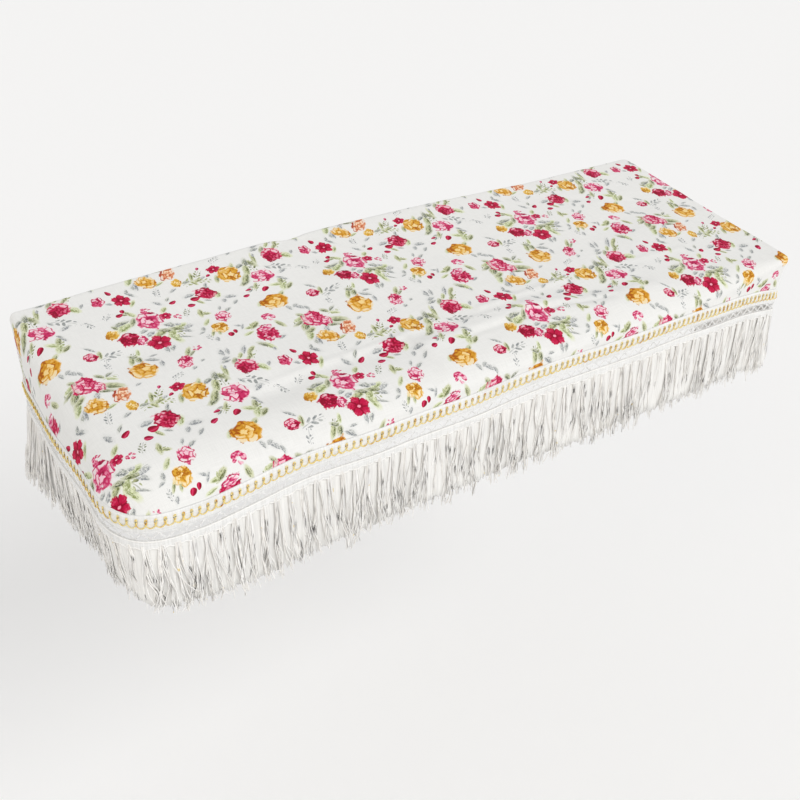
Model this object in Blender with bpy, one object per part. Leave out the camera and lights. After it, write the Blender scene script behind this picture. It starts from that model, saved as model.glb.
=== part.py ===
# Fitted dust cover, long and low: one piece of printed cloth, with a top that falls towards
# the front and four walls, and a trimming sewn round its lower edge.
# Metres, +Z up, +X along the length, +Y to the back. The origin is under the middle of the top.

import math
import random

import bmesh
import bpy
from mathutils import Vector

# The cloth
length = 1.027
depth = 0.360
fall_deg = 8.0
cloth_thick = 0.0020
gap = 0.0003
hang_gap = 0.0007

# The trimming, measured from the middle of the gold braid
tape_over = 0.0095
tape_under = 0.0120
tape_thick = 0.0012
hem_under = 0.0060
braid_height = 0.0120
braid_face = 0.0090
braid_thick = 0.0015
net_height = 0.0095
net_rail = 0.0014
net_bar = 0.0022
net_thick = 0.0012
net_repeats = 144
heading_height = 0.0095
heading_thick = 0.0030
heading_inset = 0.0006
lock_count = 144

# Steps of the mesh: along the straight stretches, round each corner, and down the walls
long_steps = 34
short_steps = 12
corner_steps = 4

# How soon the steps of the top become even, away from its edge: higher is sooner
edge_pull = 7

# How each corner is rounded, seen from above
corner_radius = {"front_left": 0.056, "front_right": 0.016, "back_right": 0.014, "back_left": 0.012}

# How the edge of the top rolls over, counter-clockwise from the front left corner.
# Columns: side, share of that side, how far in the roll starts, how far down it ends.
roll_rows = (
    ("front", 0.00, 0.048, 0.029),
    ("front", 0.14, 0.051, 0.023),
    ("front", 0.50, 0.052, 0.021),
    ("front", 0.84, 0.042, 0.019),
    ("right", 0.00, 0.012, 0.012),
    ("right", 0.50, 0.012, 0.012),
    ("back", 0.00, 0.010, 0.010),
    ("back", 0.50, 0.009, 0.009),
    ("left", 0.00, 0.010, 0.010),
    ("left", 0.14, 0.013, 0.016),
    ("left", 0.28, 0.024, 0.026),
    ("left", 0.45, 0.040, 0.034),
    ("left", 0.72, 0.048, 0.027),
    ("left", 0.85, 0.048, 0.026),
)

# Loops of the cloth from the flat of the top to the hem.
# Columns: turn of the rolled edge in degrees, share of the wall's drop, share of the swell.
loop_rows = (
    (0.0, 0.0, 0.0),
    (22.5, 0.0, 0.0),
    (45.0, 0.0, 0.2),
    (67.5, 0.0, 0.4),
    (90.0, 0.0, 0.6),
    (90.0, 0.5, 0.8),
    (90.0, 1.0, 1.0),
)

# The lower edge, counter-clockwise from the front left corner.
# Columns: side, share of that side, height of the braid's middle, how far the wall swells out.
hem_rows = (
    ("front", 0.00, -0.0655, 0.011),
    ("front", 0.033, -0.0668, 0.0075),
    ("front", 0.072, -0.0708, 0.004),
    ("front", 0.118, -0.0668, 0.003),
    ("front", 0.19, -0.0598, 0.003),
    ("front", 0.30, -0.0622, 0.001),
    ("front", 0.43, -0.0650, -0.002),
    ("front", 0.54, -0.0600, -0.003),
    ("front", 0.64, -0.0635, -0.0015),
    ("front", 0.77, -0.0605, 0.0005),
    ("front", 0.86, -0.0655, -0.003),
    ("front", 0.94, -0.0735, -0.009),
    ("right", 0.00, -0.0835, -0.015),
    ("right", 0.50, -0.076, -0.006),
    ("back", 0.00, -0.073, -0.006),
    ("back", 0.35, -0.071, 0.003),
    ("back", 0.70, -0.069, 0.003),
    ("left", 0.00, -0.0725, -0.003),
    ("left", 0.11, -0.065, 0.001),
    ("left", 0.25, -0.055, 0.006),
    ("left", 0.42, -0.0535, 0.010),
    ("left", 0.62, -0.0515, 0.0125),
    ("left", 0.85, -0.056, 0.0125),
)

# Soft folds and hollows in the top.
# Columns: start x, start y, end x, end y, half width, height.
fold_rows = (
    (-0.090, -0.107, 0.070, -0.103, 0.016, 0.0026),
    (0.070, -0.103, 0.260, -0.142, 0.016, 0.0024),
    (0.110, -0.126, 0.185, -0.150, 0.012, 0.0018),
    (-0.091, -0.113, -0.098, -0.164, 0.012, 0.0022),
    (-0.126, 0.180, -0.110, 0.095, 0.022, -0.0034),
    (0.150, -0.112, 0.200, -0.118, 0.020, -0.0022),
    (-0.345, -0.098, -0.285, -0.104, 0.024, -0.0028),
    (-0.420, 0.020, -0.330, 0.060, 0.030, -0.0016),
    (0.320, 0.010, 0.420, 0.050, 0.032, -0.0016),
)

# Wide, shallow rise and fall of the top. Columns: waves along x, waves along y, turn, height.
swell_rows = (
    (1.7, 0.6, 0.4, 0.0011),
    (2.9, 1.3, 1.9, 0.0008),
    (4.3, 0.9, 3.1, 0.0006),
)

# Slight unevenness of the walls. Columns: waves round the edge, turn, how far out.
wave_rows = (
    (11, 0.7, 0.0009),
    (19, 2.1, 0.0007),
)

# The top stands a little proud along the middle of its back edge
back_rise = 0.0085
back_rise_middle = -0.09
back_rise_reach = 0.38

# Steps round the whole edge: front, right, back, left, each from one corner's middle to the next
top_columns = long_steps + corner_steps
top_rows = short_steps + corner_steps
rim_steps = 2 * (top_columns + top_rows)
side_start = {
    "front": 0,
    "right": top_columns,
    "back": top_columns + top_rows,
    "left": 2 * top_columns + top_rows,
}
side_steps = {"front": top_columns, "right": top_rows, "back": top_columns, "left": top_rows}

# Corners counter-clockwise. Columns: name, side of x, side of y, first direction in degrees.
corner_rows = (
    ("front_left", -1, -1, 180.0),
    ("front_right", 1, -1, 270.0),
    ("back_right", 1, 1, 0.0),
    ("back_left", -1, 1, 90.0),
)


# Rounded outline

def outward(degrees):
    return Vector((math.cos(math.radians(degrees)), math.sin(math.radians(degrees)), 0.0))


def side_outline():
    """Points and outward directions round the cloth where the rolled edge ends."""
    half_corner = corner_steps // 2
    arcs = []
    for name, side_x, side_y, first in corner_rows:
        radius = corner_radius[name]
        centre = Vector((side_x * (length / 2 - radius), side_y * (depth / 2 - radius), 0.0))
        arc = []
        for step in range(corner_steps + 1):
            direction = outward(first + 90.0 * step / corner_steps)
            arc.append((centre + direction * radius, direction))
        arcs.append(arc)
    points = []
    for index, steps in enumerate((long_steps, short_steps, long_steps, short_steps)):
        points.extend(arcs[index][half_corner:-1])
        start, direction = arcs[index][-1]
        end = arcs[(index + 1) % 4][0][0]
        for step in range(steps):
            points.append((start.lerp(end, step / steps), direction))
        points.extend(arcs[(index + 1) % 4][:half_corner])
    return points


# Rolled edge and lower edge

edge_outline = side_outline()
edge_lengths = [0.0]
for station_here in range(rim_steps):
    edge_step = edge_outline[(station_here + 1) % rim_steps][0] - edge_outline[station_here][0]
    edge_lengths.append(edge_lengths[-1] + edge_step.length)
edge_round = edge_lengths[-1]


def place_of(side, share):
    """Distance round the edge of a place given by its side and the share of that side."""
    start = edge_lengths[side_start[side]]
    end = edge_lengths[side_start[side] + side_steps[side]]
    return start + (end - start) * share


def smooth_round(rows, column, place):
    """Value of one column of an edge table at a distance round the edge, on a curve through its rows."""
    count = len(rows)
    places = [place_of(row[0], row[1]) for row in rows]
    index = max(spot for spot in range(count) if places[spot] <= place)
    before, start, end, after = (rows[(index + shift) % count][column] for shift in (-1, 0, 1, 2))
    span = (places[(index + 1) % count] - places[index]) % edge_round
    span_before = (places[index] - places[index - 1]) % edge_round
    span_after = (places[(index + 2) % count] - places[(index + 1) % count]) % edge_round
    slope_start = (end - before) * span / (span + span_before)
    slope_end = (after - start) * span / (span + span_after)
    t = (place - places[index]) / span
    bend = 2 * (start - end) + slope_start + slope_end
    turn = 3 * (end - start) - 2 * slope_start - slope_end
    return start + slope_start * t + turn * t ** 2 + bend * t ** 3


def soft_wave(share):
    """How far the walls lean out or in at a share of the way round, besides their swell."""
    return sum(height * math.sin(2 * math.pi * waves * share + turn) for waves, turn, height in wave_rows)


stations = range(rim_steps)
roll_width = [smooth_round(roll_rows, 2, edge_lengths[station]) for station in stations]
roll_drop = [smooth_round(roll_rows, 3, edge_lengths[station]) for station in stations]
hem_braid = [smooth_round(hem_rows, 2, edge_lengths[station]) for station in stations]
hem_swell = []
hem_points = []
for station_here, (edge_point, edge_direction) in enumerate(edge_outline):
    edge_place = edge_lengths[station_here]
    hem_swell.append(smooth_round(hem_rows, 3, edge_place) + soft_wave(edge_place / edge_round))
    hem_points.append(edge_point + edge_direction * hem_swell[-1])


def mitre(station):
    """Offset vector at a corner of the hem, so that offset edges stay parallel."""
    here = hem_points[station]
    before = (here - hem_points[station - 1]).normalized()
    after = (hem_points[(station + 1) % rim_steps] - here).normalized()
    first = Vector((before.y, -before.x, 0.0))
    second = Vector((after.y, -after.x, 0.0))
    return (first + second) / (1 + first.dot(second))


hem_mitres = [mitre(station) for station in stations]
hem_lengths = [0.0]
for station_here in stations:
    edge_step = hem_points[(station_here + 1) % rim_steps] - hem_points[station_here]
    hem_lengths.append(hem_lengths[-1] + edge_step.length)
hem_round = hem_lengths[-1]


def rim_point(station, offset, height):
    """Point at a step of the hem, this far out and this far above the braid's middle."""
    point = hem_points[station] + hem_mitres[station] * offset
    point.z = hem_braid[station] + height
    return point


def rim_at(distance, offset, height):
    """Point at a distance round the hem, on the straight line between two steps."""
    distance = distance % hem_round
    station = 0
    while hem_lengths[station + 1] < distance:
        station += 1
    share = (distance - hem_lengths[station]) / (hem_lengths[station + 1] - hem_lengths[station])
    start = rim_point(station, offset, height)
    return start.lerp(rim_point((station + 1) % rim_steps, offset, height), share)


# Shape of the top

def fold_height(x, y):
    total = 0.0
    for start_x, start_y, end_x, end_y, half_width, height in fold_rows:
        run_x = end_x - start_x
        run_y = end_y - start_y
        share = ((x - start_x) * run_x + (y - start_y) * run_y) / (run_x ** 2 + run_y ** 2)
        share = min(max(share, 0.0), 1.0)
        away = math.hypot(x - start_x - share * run_x, y - start_y - share * run_y)
        total += height * math.exp(-(away / half_width) ** 2)
    return total


def top_height(x, y):
    """Height of the cloth's upper face before its edge is rolled over."""
    total = cloth_thick + y * math.tan(math.radians(fall_deg))
    edge_fade = max(0.0, 1 - (2 * x / length) ** 4) * max(0.0, 1 - (2 * y / depth) ** 4)
    for waves_x, waves_y, turn, height in swell_rows:
        angle = 2 * math.pi * (waves_x * x / length + waves_y * y / depth) + turn
        total += height * edge_fade * math.sin(angle)
    along = max(0.0, 1 - ((x - back_rise_middle) / back_rise_reach) ** 2)
    total += back_rise * along * max(0.0, 2 * y / depth) ** 2
    return total + fold_height(x, y)


def cloth_loop(turn_deg, wall_share, swell_share):
    """One loop of the cloth's outer face."""
    turn = math.radians(turn_deg)
    points = []
    for station, (point, direction) in enumerate(edge_outline):
        moved = hem_swell[station] * swell_share - roll_width[station] * (1 - math.sin(turn))
        place = point + direction * moved
        height = top_height(place.x, place.y) - roll_drop[station] * (1 - math.cos(turn))
        bottom = hem_braid[station] + tape_over + gap
        place.z = height + (bottom - height) * wall_share
        points.append(place)
    return points


def even_point(corners, column, row):
    """Point of an even grid between the four corners: front left, front right, back right, back left."""
    near = corners[0].lerp(corners[1], column / top_columns)
    far = corners[3].lerp(corners[2], column / top_columns)
    return near.lerp(far, row / top_rows)


def patch_point(loop, column, row):
    """Point of the top's grid: even steps inside, drawn to the loop's own steps near the edge."""
    corners = [loop[side_start[side]] for side in ("front", "right", "back", "left")]
    share_x = column / top_columns
    share_y = row / top_rows
    meets = (
        (column, 0, loop[column], 1 - share_y),
        (top_columns, row, loop[side_start["right"] + row], share_x),
        (column, top_rows, loop[side_start["back"] + top_columns - column], share_y),
        (0, row, loop[(side_start["left"] + top_rows - row) % rim_steps], 1 - share_x),
    )
    place = even_point(corners, column, row)
    for edge_column, edge_row, edge_place, closeness in meets:
        place += (edge_place - even_point(corners, edge_column, edge_row)) * closeness ** edge_pull
    return place


def station_of(column, row):
    if row == 0:
        return column
    if column == top_columns:
        return side_start["right"] + row
    if row == top_rows:
        return side_start["back"] + top_columns - column
    return (side_start["left"] + top_rows - row) % rim_steps


# Making objects

def material(name, colour, roughness, metallic=0.0):
    result = bpy.data.materials.new(name)
    result.use_nodes = True
    shader = result.node_tree.nodes["Principled BSDF"]
    shader.inputs["Base Color"].default_value = (*colour, 1.0)
    shader.inputs["Roughness"].default_value = roughness
    shader.inputs["Metallic"].default_value = metallic
    return result


def finish(bm, name, paint):
    mesh = bpy.data.meshes.new(name)
    bm.to_mesh(mesh)
    bm.free()
    mesh.materials.append(paint)
    result = bpy.data.objects.new(name, mesh)
    bpy.context.scene.collection.objects.link(result)
    return result


def thicken(piece, thick, side):
    solid = piece.modifiers.new("thickness", "SOLIDIFY")
    solid.thickness = thick
    solid.offset = side
    solid.use_even_offset = False
    solid.use_quality_normals = True
    solid.use_rim = True
    return solid


def band_between(bm, loops):
    """Closed ring whose section runs through these loops in turn. Gives its faces by section side."""
    bmesh.ops.create_circle(bm, segments=len(loops[0]), radius=1.0)
    bm.verts.ensure_lookup_table()
    order = bm.verts.layers.int.new("order")
    for index, vert in enumerate(bm.verts):
        vert.co = loops[0][index]
        vert[order] = index
    first_edges = bm.edges[:]
    edges = first_edges
    sides = []
    for loop in loops[1:]:
        made = bmesh.ops.extrude_edge_only(bm, edges=edges)["geom"]
        edges = [item for item in made if isinstance(item, bmesh.types.BMEdge)]
        sides.append([item for item in made if isinstance(item, bmesh.types.BMFace)])
        for item in made:
            if isinstance(item, bmesh.types.BMVert):
                item.co = loop[item[order]]
    sides.append(bmesh.ops.bridge_loops(bm, edges=first_edges + edges)["faces"])
    bmesh.ops.recalc_face_normals(bm, faces=bm.faces[:])
    return sides


def rim_band(name, paint, inner, rows):
    """Ring along the hem. Each row of its section is an offset past inner and a height."""
    bm = bmesh.new()
    loops = []
    for offset, height in rows:
        loops.append([rim_point(station, inner + offset, height) for station in range(rim_steps)])
    band_between(bm, loops)
    return finish(bm, name, paint)


# The cloth

def make_cloth(paint):
    bm = bmesh.new()
    loops = [cloth_loop(*row) for row in loop_rows]
    hem = []
    for station in range(rim_steps):
        hem.append(rim_point(station, 0.0, -hem_under))
    loops.append(hem)
    bmesh.ops.create_grid(bm, x_segments=top_columns, y_segments=top_rows, size=1.0)
    station_layer = bm.verts.layers.int.new("station")
    edges = [edge for edge in bm.edges if edge.is_boundary]
    for vert in bm.verts:
        column = round((vert.co.x + 1) / 2 * top_columns)
        row = round((vert.co.y + 1) / 2 * top_rows)
        place = patch_point(loops[0], column, row)
        if not vert.is_boundary:
            place.z = top_height(place.x, place.y)
        vert[station_layer] = station_of(column, row)
        vert.co = place
    for loop in loops[1:]:
        made = bmesh.ops.extrude_edge_only(bm, edges=edges)["geom"]
        edges = [item for item in made if isinstance(item, bmesh.types.BMEdge) and item.is_boundary]
        for item in made:
            if isinstance(item, bmesh.types.BMVert):
                item.co = loop[item[station_layer]]
    bmesh.ops.recalc_face_normals(bm, faces=bm.faces[:])
    cloth = finish(bm, "cover_cloth", paint)
    thicken(cloth, cloth_thick, -1.0)
    return cloth


# The open net: slanting bars between two rails, with a triangle left open on each side of a bar

def make_net(paint):
    bm = bmesh.new()
    pitch = hem_round / net_repeats
    top = -tape_under - hang_gap
    bottom = top - net_height
    low = bottom + net_rail
    high = top - net_rail
    offset = gap + net_thick / 2

    def corner(share, across, height):
        """Vertex at a share of the pitch and a distance across from there."""
        return bm.verts.new(rim_at(share * pitch + across, offset, height))

    columns = []
    for repeat in range(net_repeats):
        columns.append({
            "bottom": corner(repeat, 0.0, bottom),
            "low_tip": corner(repeat, 0.0, low),
            "low_start": corner(repeat, net_bar, low),
            "low_end": corner(repeat + 1, -net_bar, low),
            "top": corner(repeat + 0.5, 0.0, top),
            "high_end": corner(repeat + 0.5, -net_bar, high),
            "high_tip": corner(repeat + 0.5, 0.0, high),
            "high_start": corner(repeat + 0.5, net_bar, high),
        })
    for repeat, here in enumerate(columns):
        after = columns[(repeat + 1) % net_repeats]
        faces = (
            (here["bottom"], here["low_start"], here["low_tip"]),
            (here["bottom"], after["bottom"], here["low_end"], here["low_start"]),
            (after["bottom"], after["low_tip"], here["low_end"]),
            (here["low_tip"], here["low_start"], here["high_tip"], here["high_end"]),
            (here["low_end"], after["low_tip"], here["high_start"], here["high_tip"]),
            (here["high_tip"], here["high_start"], here["top"]),
            (here["high_start"], after["high_end"], after["top"], here["top"]),
            (after["high_end"], after["high_tip"], after["top"]),
        )
        for face in faces:
            bm.faces.new(face)
    bmesh.ops.recalc_face_normals(bm, faces=bm.faces[:])
    net = finish(bm, "net_band", paint)
    thicken(net, net_thick, 0.0)
    return net


# The fringe: a narrow heading with loose locks below it, fused to it at their roots only.
# Columns of the lock's sections: share of its length, share of the pitch, thickness, share of the lean.
lock_sections = (
    (0.02, 0.50, 0.0030, 0.00),
    (0.26, 0.88, 0.0040, 0.25),
    (1.00, 0.62, 0.0026, 1.00),
)
# Slow changes from lock to lock. Columns: waves round the edge, turn, share of the height.
sway_rows = (
    (5, 0.6, 0.625),
    (13, 2.0, 0.375),
)
# How the locks hang. Columns: side, share of that side, length, how far their tips stand out.
hang_rows = (
    ("front", 0.00, 0.0865, 0.002),
    ("front", 0.05, 0.0925, 0.003),
    ("front", 0.14, 0.1055, 0.003),
    ("front", 0.30, 0.1045, 0.003),
    ("front", 0.43, 0.1025, 0.003),
    ("front", 0.54, 0.1055, 0.003),
    ("front", 0.80, 0.1055, 0.003),
    ("right", 0.00, 0.1010, 0.004),
    ("right", 0.50, 0.1065, 0.003),
    ("back", 0.50, 0.1065, 0.003),
    ("left", 0.00, 0.0985, 0.012),
    ("left", 0.25, 0.0955, 0.004),
    ("left", 0.50, 0.0915, -0.005),
    ("left", 0.80, 0.0875, -0.007),
    ("left", 0.94, 0.0775, -0.003),
)
lock_seed = 11
lock_lean = 0.0075
lock_scatter = 0.0016
lock_uneven = 0.055
lock_sway = 0.032
lock_flare_scatter = 0.0040


def lock_rows(root_offset, root_height, pitch):
    """Place, length and lean of each lock, uneven from one to the next."""
    chance = random.Random(lock_seed)
    locks = []
    for index in range(lock_count):
        share = index / lock_count
        sway = sum(part * math.sin(2 * math.pi * waves * share + turn) for waves, turn, part in sway_rows)
        along = rim_at((index + 1) * pitch, 0.0, 0.0) - rim_at(index * pitch, 0.0, 0.0)
        along.z = 0.0
        along.normalize()
        lock_length = smooth_round(hang_rows, 2, share * edge_round)
        flare = smooth_round(hang_rows, 3, share * edge_round)
        locks.append({
            "root": rim_at((index + 0.5) * pitch, root_offset, root_height),
            "along": along,
            "out": Vector((along.y, -along.x, 0.0)),
            "length": lock_length * (1 + lock_uneven * chance.uniform(-1, 1) + lock_sway * sway),
            "lean": lock_lean * sway + chance.uniform(-lock_scatter, lock_scatter),
            "flare": flare + chance.uniform(-lock_flare_scatter, lock_flare_scatter),
        })
    return locks


def make_fringe(paint):
    bm = bmesh.new()
    owner = bm.faces.layers.int.new("lock")
    top = -tape_under - net_height - 2 * hang_gap
    bottom = top - heading_height
    inner = -heading_inset
    outer = inner + heading_thick
    pitch = hem_round / lock_count
    loops = []
    for offset, height in ((inner, bottom), (inner, top), (outer, top), (outer, bottom)):
        loops.append([rim_at(index * pitch, offset, height) for index in range(lock_count)])
    faces = band_between(bm, loops)[-1]
    order = bm.verts.layers.int["order"]
    for face in faces:
        ends = {vert[order] for vert in face.verts}
        face[owner] = max(ends) if 0 in ends and lock_count - 1 in ends else min(ends)
    locks = lock_rows((inner + outer) / 2, bottom, pitch)
    for share, width_share, thick, lean_share in lock_sections:
        faces = bmesh.ops.extrude_discrete_faces(bm, faces=faces)["faces"]
        for face in faces:
            lock = locks[face[owner]]
            middle = face.calc_center_median()
            centre = lock["root"] + (lock["along"] * lock["lean"] + lock["out"] * lock["flare"]) * lean_share
            centre.z -= lock["length"] * share
            half_width = lock["along"] * pitch * width_share / 2
            half_thick = lock["out"] * thick / 2
            for vert in face.verts:
                from_middle = vert.co - middle
                across = math.copysign(1, from_middle.dot(half_width))
                facing = math.copysign(1, from_middle.dot(half_thick))
                vert.co = centre + half_width * across + half_thick * facing
    bmesh.ops.recalc_face_normals(bm, faces=bm.faces[:])
    return finish(bm, "fringe", paint)


for old in list(bpy.data.objects):
    bpy.data.objects.remove(old)

make_cloth(material("printed_cotton", (0.84, 0.82, 0.80), 0.85))
rim_band("trim_tape", material("white_tape", (0.90, 0.89, 0.87), 0.75), gap, (
    (0.0, -tape_under),
    (tape_thick, -tape_under),
    (tape_thick, tape_over),
    (0.0, tape_over),
))
rim_band("gold_braid", material("gold_thread", (0.82, 0.58, 0.14), 0.40, 0.3), 2 * gap + tape_thick, (
    (0.0, -braid_height / 2),
    (braid_thick, -braid_face / 2),
    (braid_thick, braid_face / 2),
    (0.0, braid_height / 2),
))
make_net(material("white_net", (0.88, 0.87, 0.85), 0.70))
make_fringe(material("rayon_fringe", (0.86, 0.84, 0.80), 0.45))
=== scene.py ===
import bisect
import functools
import math
import random

import bmesh
import bpy
import numpy as np
from mathutils import Matrix, Vector, noise


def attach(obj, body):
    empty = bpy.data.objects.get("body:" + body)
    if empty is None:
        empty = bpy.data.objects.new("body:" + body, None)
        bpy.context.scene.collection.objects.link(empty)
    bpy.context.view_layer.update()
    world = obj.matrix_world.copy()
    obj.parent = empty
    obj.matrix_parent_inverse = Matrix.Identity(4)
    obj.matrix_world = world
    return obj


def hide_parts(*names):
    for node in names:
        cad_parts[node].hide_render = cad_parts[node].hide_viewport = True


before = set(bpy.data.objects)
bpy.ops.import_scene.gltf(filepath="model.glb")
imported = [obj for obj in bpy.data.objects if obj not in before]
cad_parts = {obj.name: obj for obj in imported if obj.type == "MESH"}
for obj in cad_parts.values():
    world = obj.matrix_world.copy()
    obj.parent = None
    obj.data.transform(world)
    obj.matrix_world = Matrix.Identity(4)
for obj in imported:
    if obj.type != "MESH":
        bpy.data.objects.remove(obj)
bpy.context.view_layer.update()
noise.seed_set(3)  # otherwise the strands wander differently each run
print("frame loaded")


# The cover's form, with the sizes of its solids. Metres, front left corner first, counter-clockwise
cover = {
    "length": 1.027,
    "depth": 0.360,
    "fall": math.radians(8.0),
    "face": 0.0020,  # height of the cloth's upper face, halfway from front to back
    "gap": 0.0003,
    "hangGap": 0.0007,
    "cornerRadius": (0.056, 0.016, 0.014, 0.012),
    "longSteps": 216,
    "shortSteps": 76,
    "cornerSteps": 14,
    "edgePull": 7,  # how soon the grid of the top becomes even, away from its edge
    "edgeReach": 0.4,
    "tapeOver": 0.0095,
    "tapeUnder": 0.0120,
    "tapeThick": 0.0012,
    "hemUnder": 0.0060,
    "netHeight": 0.0095,
    "headingHeight": 0.0095,
}

# Share of the side, how far in the rolled edge starts, how far down it ends
rollRows = {
    "front": ((0.00, 0.048, 0.029), (0.14, 0.051, 0.023), (0.50, 0.052, 0.021), (0.84, 0.042, 0.019)),
    "right": ((0.00, 0.012, 0.012), (0.50, 0.012, 0.012)),
    "back": ((0.00, 0.010, 0.010), (0.50, 0.009, 0.009)),
    "left": ((0.00, 0.010, 0.010), (0.14, 0.013, 0.016), (0.28, 0.024, 0.026), (0.45, 0.040, 0.034),
             (0.72, 0.048, 0.027), (0.85, 0.048, 0.026)),
}

# Share of the side, height of the braid's middle, how far the wall swells out
hemRows = {
    "front": ((0.00, -0.0655, 0.011), (0.033, -0.0668, 0.0075), (0.072, -0.0708, 0.004),
              (0.118, -0.0668, 0.003), (0.19, -0.0598, 0.003), (0.30, -0.0622, 0.001),
              (0.43, -0.0650, -0.002), (0.54, -0.0600, -0.003), (0.64, -0.0635, -0.0015),
              (0.77, -0.0605, 0.0005), (0.86, -0.0655, -0.003), (0.94, -0.0735, -0.009)),
    "right": ((0.00, -0.0835, -0.015), (0.50, -0.076, -0.006)),
    "back": ((0.00, -0.073, -0.006), (0.35, -0.071, 0.003), (0.70, -0.069, 0.003)),
    "left": ((0.00, -0.0725, -0.003), (0.11, -0.065, 0.001), (0.25, -0.055, 0.006), (0.42, -0.0535, 0.010),
             (0.62, -0.0515, 0.0125), (0.85, -0.056, 0.0125)),
}

# How the fringe hangs: share of the side, length, how far its tips stand out
hangRows = {
    "front": ((0.00, 0.0865, 0.002), (0.05, 0.0925, 0.003), (0.14, 0.1055, 0.003), (0.30, 0.1045, 0.003),
              (0.43, 0.1025, 0.003), (0.54, 0.1055, 0.003), (0.80, 0.1055, 0.003)),
    "right": ((0.00, 0.1010, 0.004), (0.50, 0.1065, 0.003)),
    "back": ((0.50, 0.1065, 0.003),),
    "left": ((0.00, 0.0985, 0.018), (0.25, 0.0955, 0.007), (0.50, 0.0915, -0.003), (0.80, 0.0875, -0.006),
             (0.94, 0.0775, -0.003)),
}

# Soft folds and hollows: start x, start y, end x, end y, half width, height
foldRows = (
    (-0.090, -0.107, 0.070, -0.103, 0.016, 0.0038), (0.070, -0.103, 0.260, -0.142, 0.016, 0.0036),
    (0.110, -0.126, 0.185, -0.150, 0.012, 0.0026), (-0.091, -0.113, -0.098, -0.164, 0.012, 0.0030),
    (-0.126, 0.180, -0.110, 0.095, 0.022, -0.0044), (0.150, -0.112, 0.200, -0.118, 0.020, -0.0032),
    (-0.345, -0.098, -0.285, -0.104, 0.024, -0.0038), (-0.420, 0.020, -0.330, 0.060, 0.030, -0.0026),
    (0.320, 0.010, 0.420, 0.050, 0.032, -0.0026), (-0.300, -0.096, -0.150, -0.092, 0.018, -0.0030),
    (-0.110, 0.090, -0.118, 0.020, 0.020, 0.0022),
)

# Fine creases: the same columns
creaseRows = (
    (-0.108, 0.176, -0.104, 0.020, 0.0045, -0.0016), (-0.103, 0.010, -0.100, -0.130, 0.0040, 0.0012),
    (-0.105, -0.085, -0.104, -0.165, 0.0040, 0.0019), (-0.360, -0.088, -0.180, -0.080, 0.0050, 0.0021),
    (-0.180, -0.080, -0.060, -0.074, 0.0050, 0.0021), (0.010, -0.075, 0.160, -0.071, 0.0050, 0.0020),
    (-0.040, -0.090, 0.030, -0.091, 0.0040, 0.0010), (-0.040, -0.116, 0.120, -0.117, 0.0050, -0.0024),
    (0.100, -0.118, 0.200, -0.135, 0.0050, -0.0026), (-0.440, -0.050, -0.400, -0.110, 0.0050, -0.0010),
    (-0.320, -0.100, -0.318, -0.135, 0.0040, -0.0010), (0.240, -0.070, 0.380, -0.082, 0.0050, 0.0010),
    (0.300, 0.120, 0.420, 0.060, 0.0060, -0.0009), (-0.140, 0.172, -0.165, 0.140, 0.0050, -0.0010),
)

# Wide, shallow rise and fall of the top: waves along x, waves along y, turn, height
swellRows = ((1.7, 0.6, 0.4, 0.0011), (2.9, 1.3, 1.9, 0.0008), (4.3, 0.9, 3.1, 0.0006))

# Slight unevenness of the walls: waves round the edge, turn, how far out
waveRows = ((11, 0.7, 0.0009), (19, 2.1, 0.0007))

# Faint unevenness of cloth that was stored folded: scale along x, y and z, shift, height
wrinkleRows = ((9.0, 16.0, 16.0, 0.0, 0.0007), (31.0, 47.0, 40.0, 7.0, 0.00025))

backRise = {"height": 0.0085, "middle": -0.09, "reach": 0.38}

sideNames = ("front", "right", "back", "left")
topColumns = cover["longSteps"] + cover["cornerSteps"]
topRows = cover["shortSteps"] + cover["cornerSteps"]
sideSteps = dict(zip(sideNames, (topColumns, topRows, topColumns, topRows)))
sideStart = dict(zip(sideNames, (0, topColumns, topColumns + topRows, 2 * topColumns + topRows)))
rimSteps = 2 * (topColumns + topRows)
stations = range(rimSteps)
cornerSides = ((-1, -1), (1, -1), (1, 1), (-1, 1))


def outward(degrees):
    return Vector((math.cos(math.radians(degrees)), math.sin(math.radians(degrees)), 0.0))


def edgeOutline():
    # points and outward directions where the rolled edge ends, seen from above
    steps = cover["cornerSteps"]
    arcs = []
    for index, (sideX, sideY) in enumerate(cornerSides):
        radius = cover["cornerRadius"][index]
        centre = Vector((sideX * (cover["length"] / 2 - radius), sideY * (cover["depth"] / 2 - radius), 0.0))
        turns = [outward(180.0 + 90.0 * index + 90.0 * step / steps) for step in range(steps + 1)]
        arcs.append([(centre + turn * radius, turn) for turn in turns])
    points = []
    for index, name in enumerate(sideNames):
        straight = sideSteps[name] - steps
        points.extend(arcs[index][steps // 2:-1])
        start, direction = arcs[index][-1]
        nextArc = arcs[(index + 1) % 4]
        points.extend((start.lerp(nextArc[0][0], step / straight), direction) for step in range(straight))
        points.extend(nextArc[:steps // 2])
    return points


def lengthsAlong(points):
    # how far round each point of a closed line lies, and the whole way round
    lengths = [0.0]
    for step in stations:
        lengths.append(lengths[-1] + (points[(step + 1) % rimSteps] - points[step]).length)
    return lengths, lengths[-1]


edgePoints = edgeOutline()
edgeLengths, edgeRound = lengthsAlong([point for point, direction in edgePoints])


def placedRows(table):
    # each row of an edge table with its distance round the edge
    rows = []
    for side, sideRows in table.items():
        start, end = edgeLengths[sideStart[side]], edgeLengths[sideStart[side] + sideSteps[side]]
        rows.extend((start + (end - start) * share, *row) for share, *row in sideRows)
    return rows


rollTable, hemTable, hangTable = placedRows(rollRows), placedRows(hemRows), placedRows(hangRows)


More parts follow.
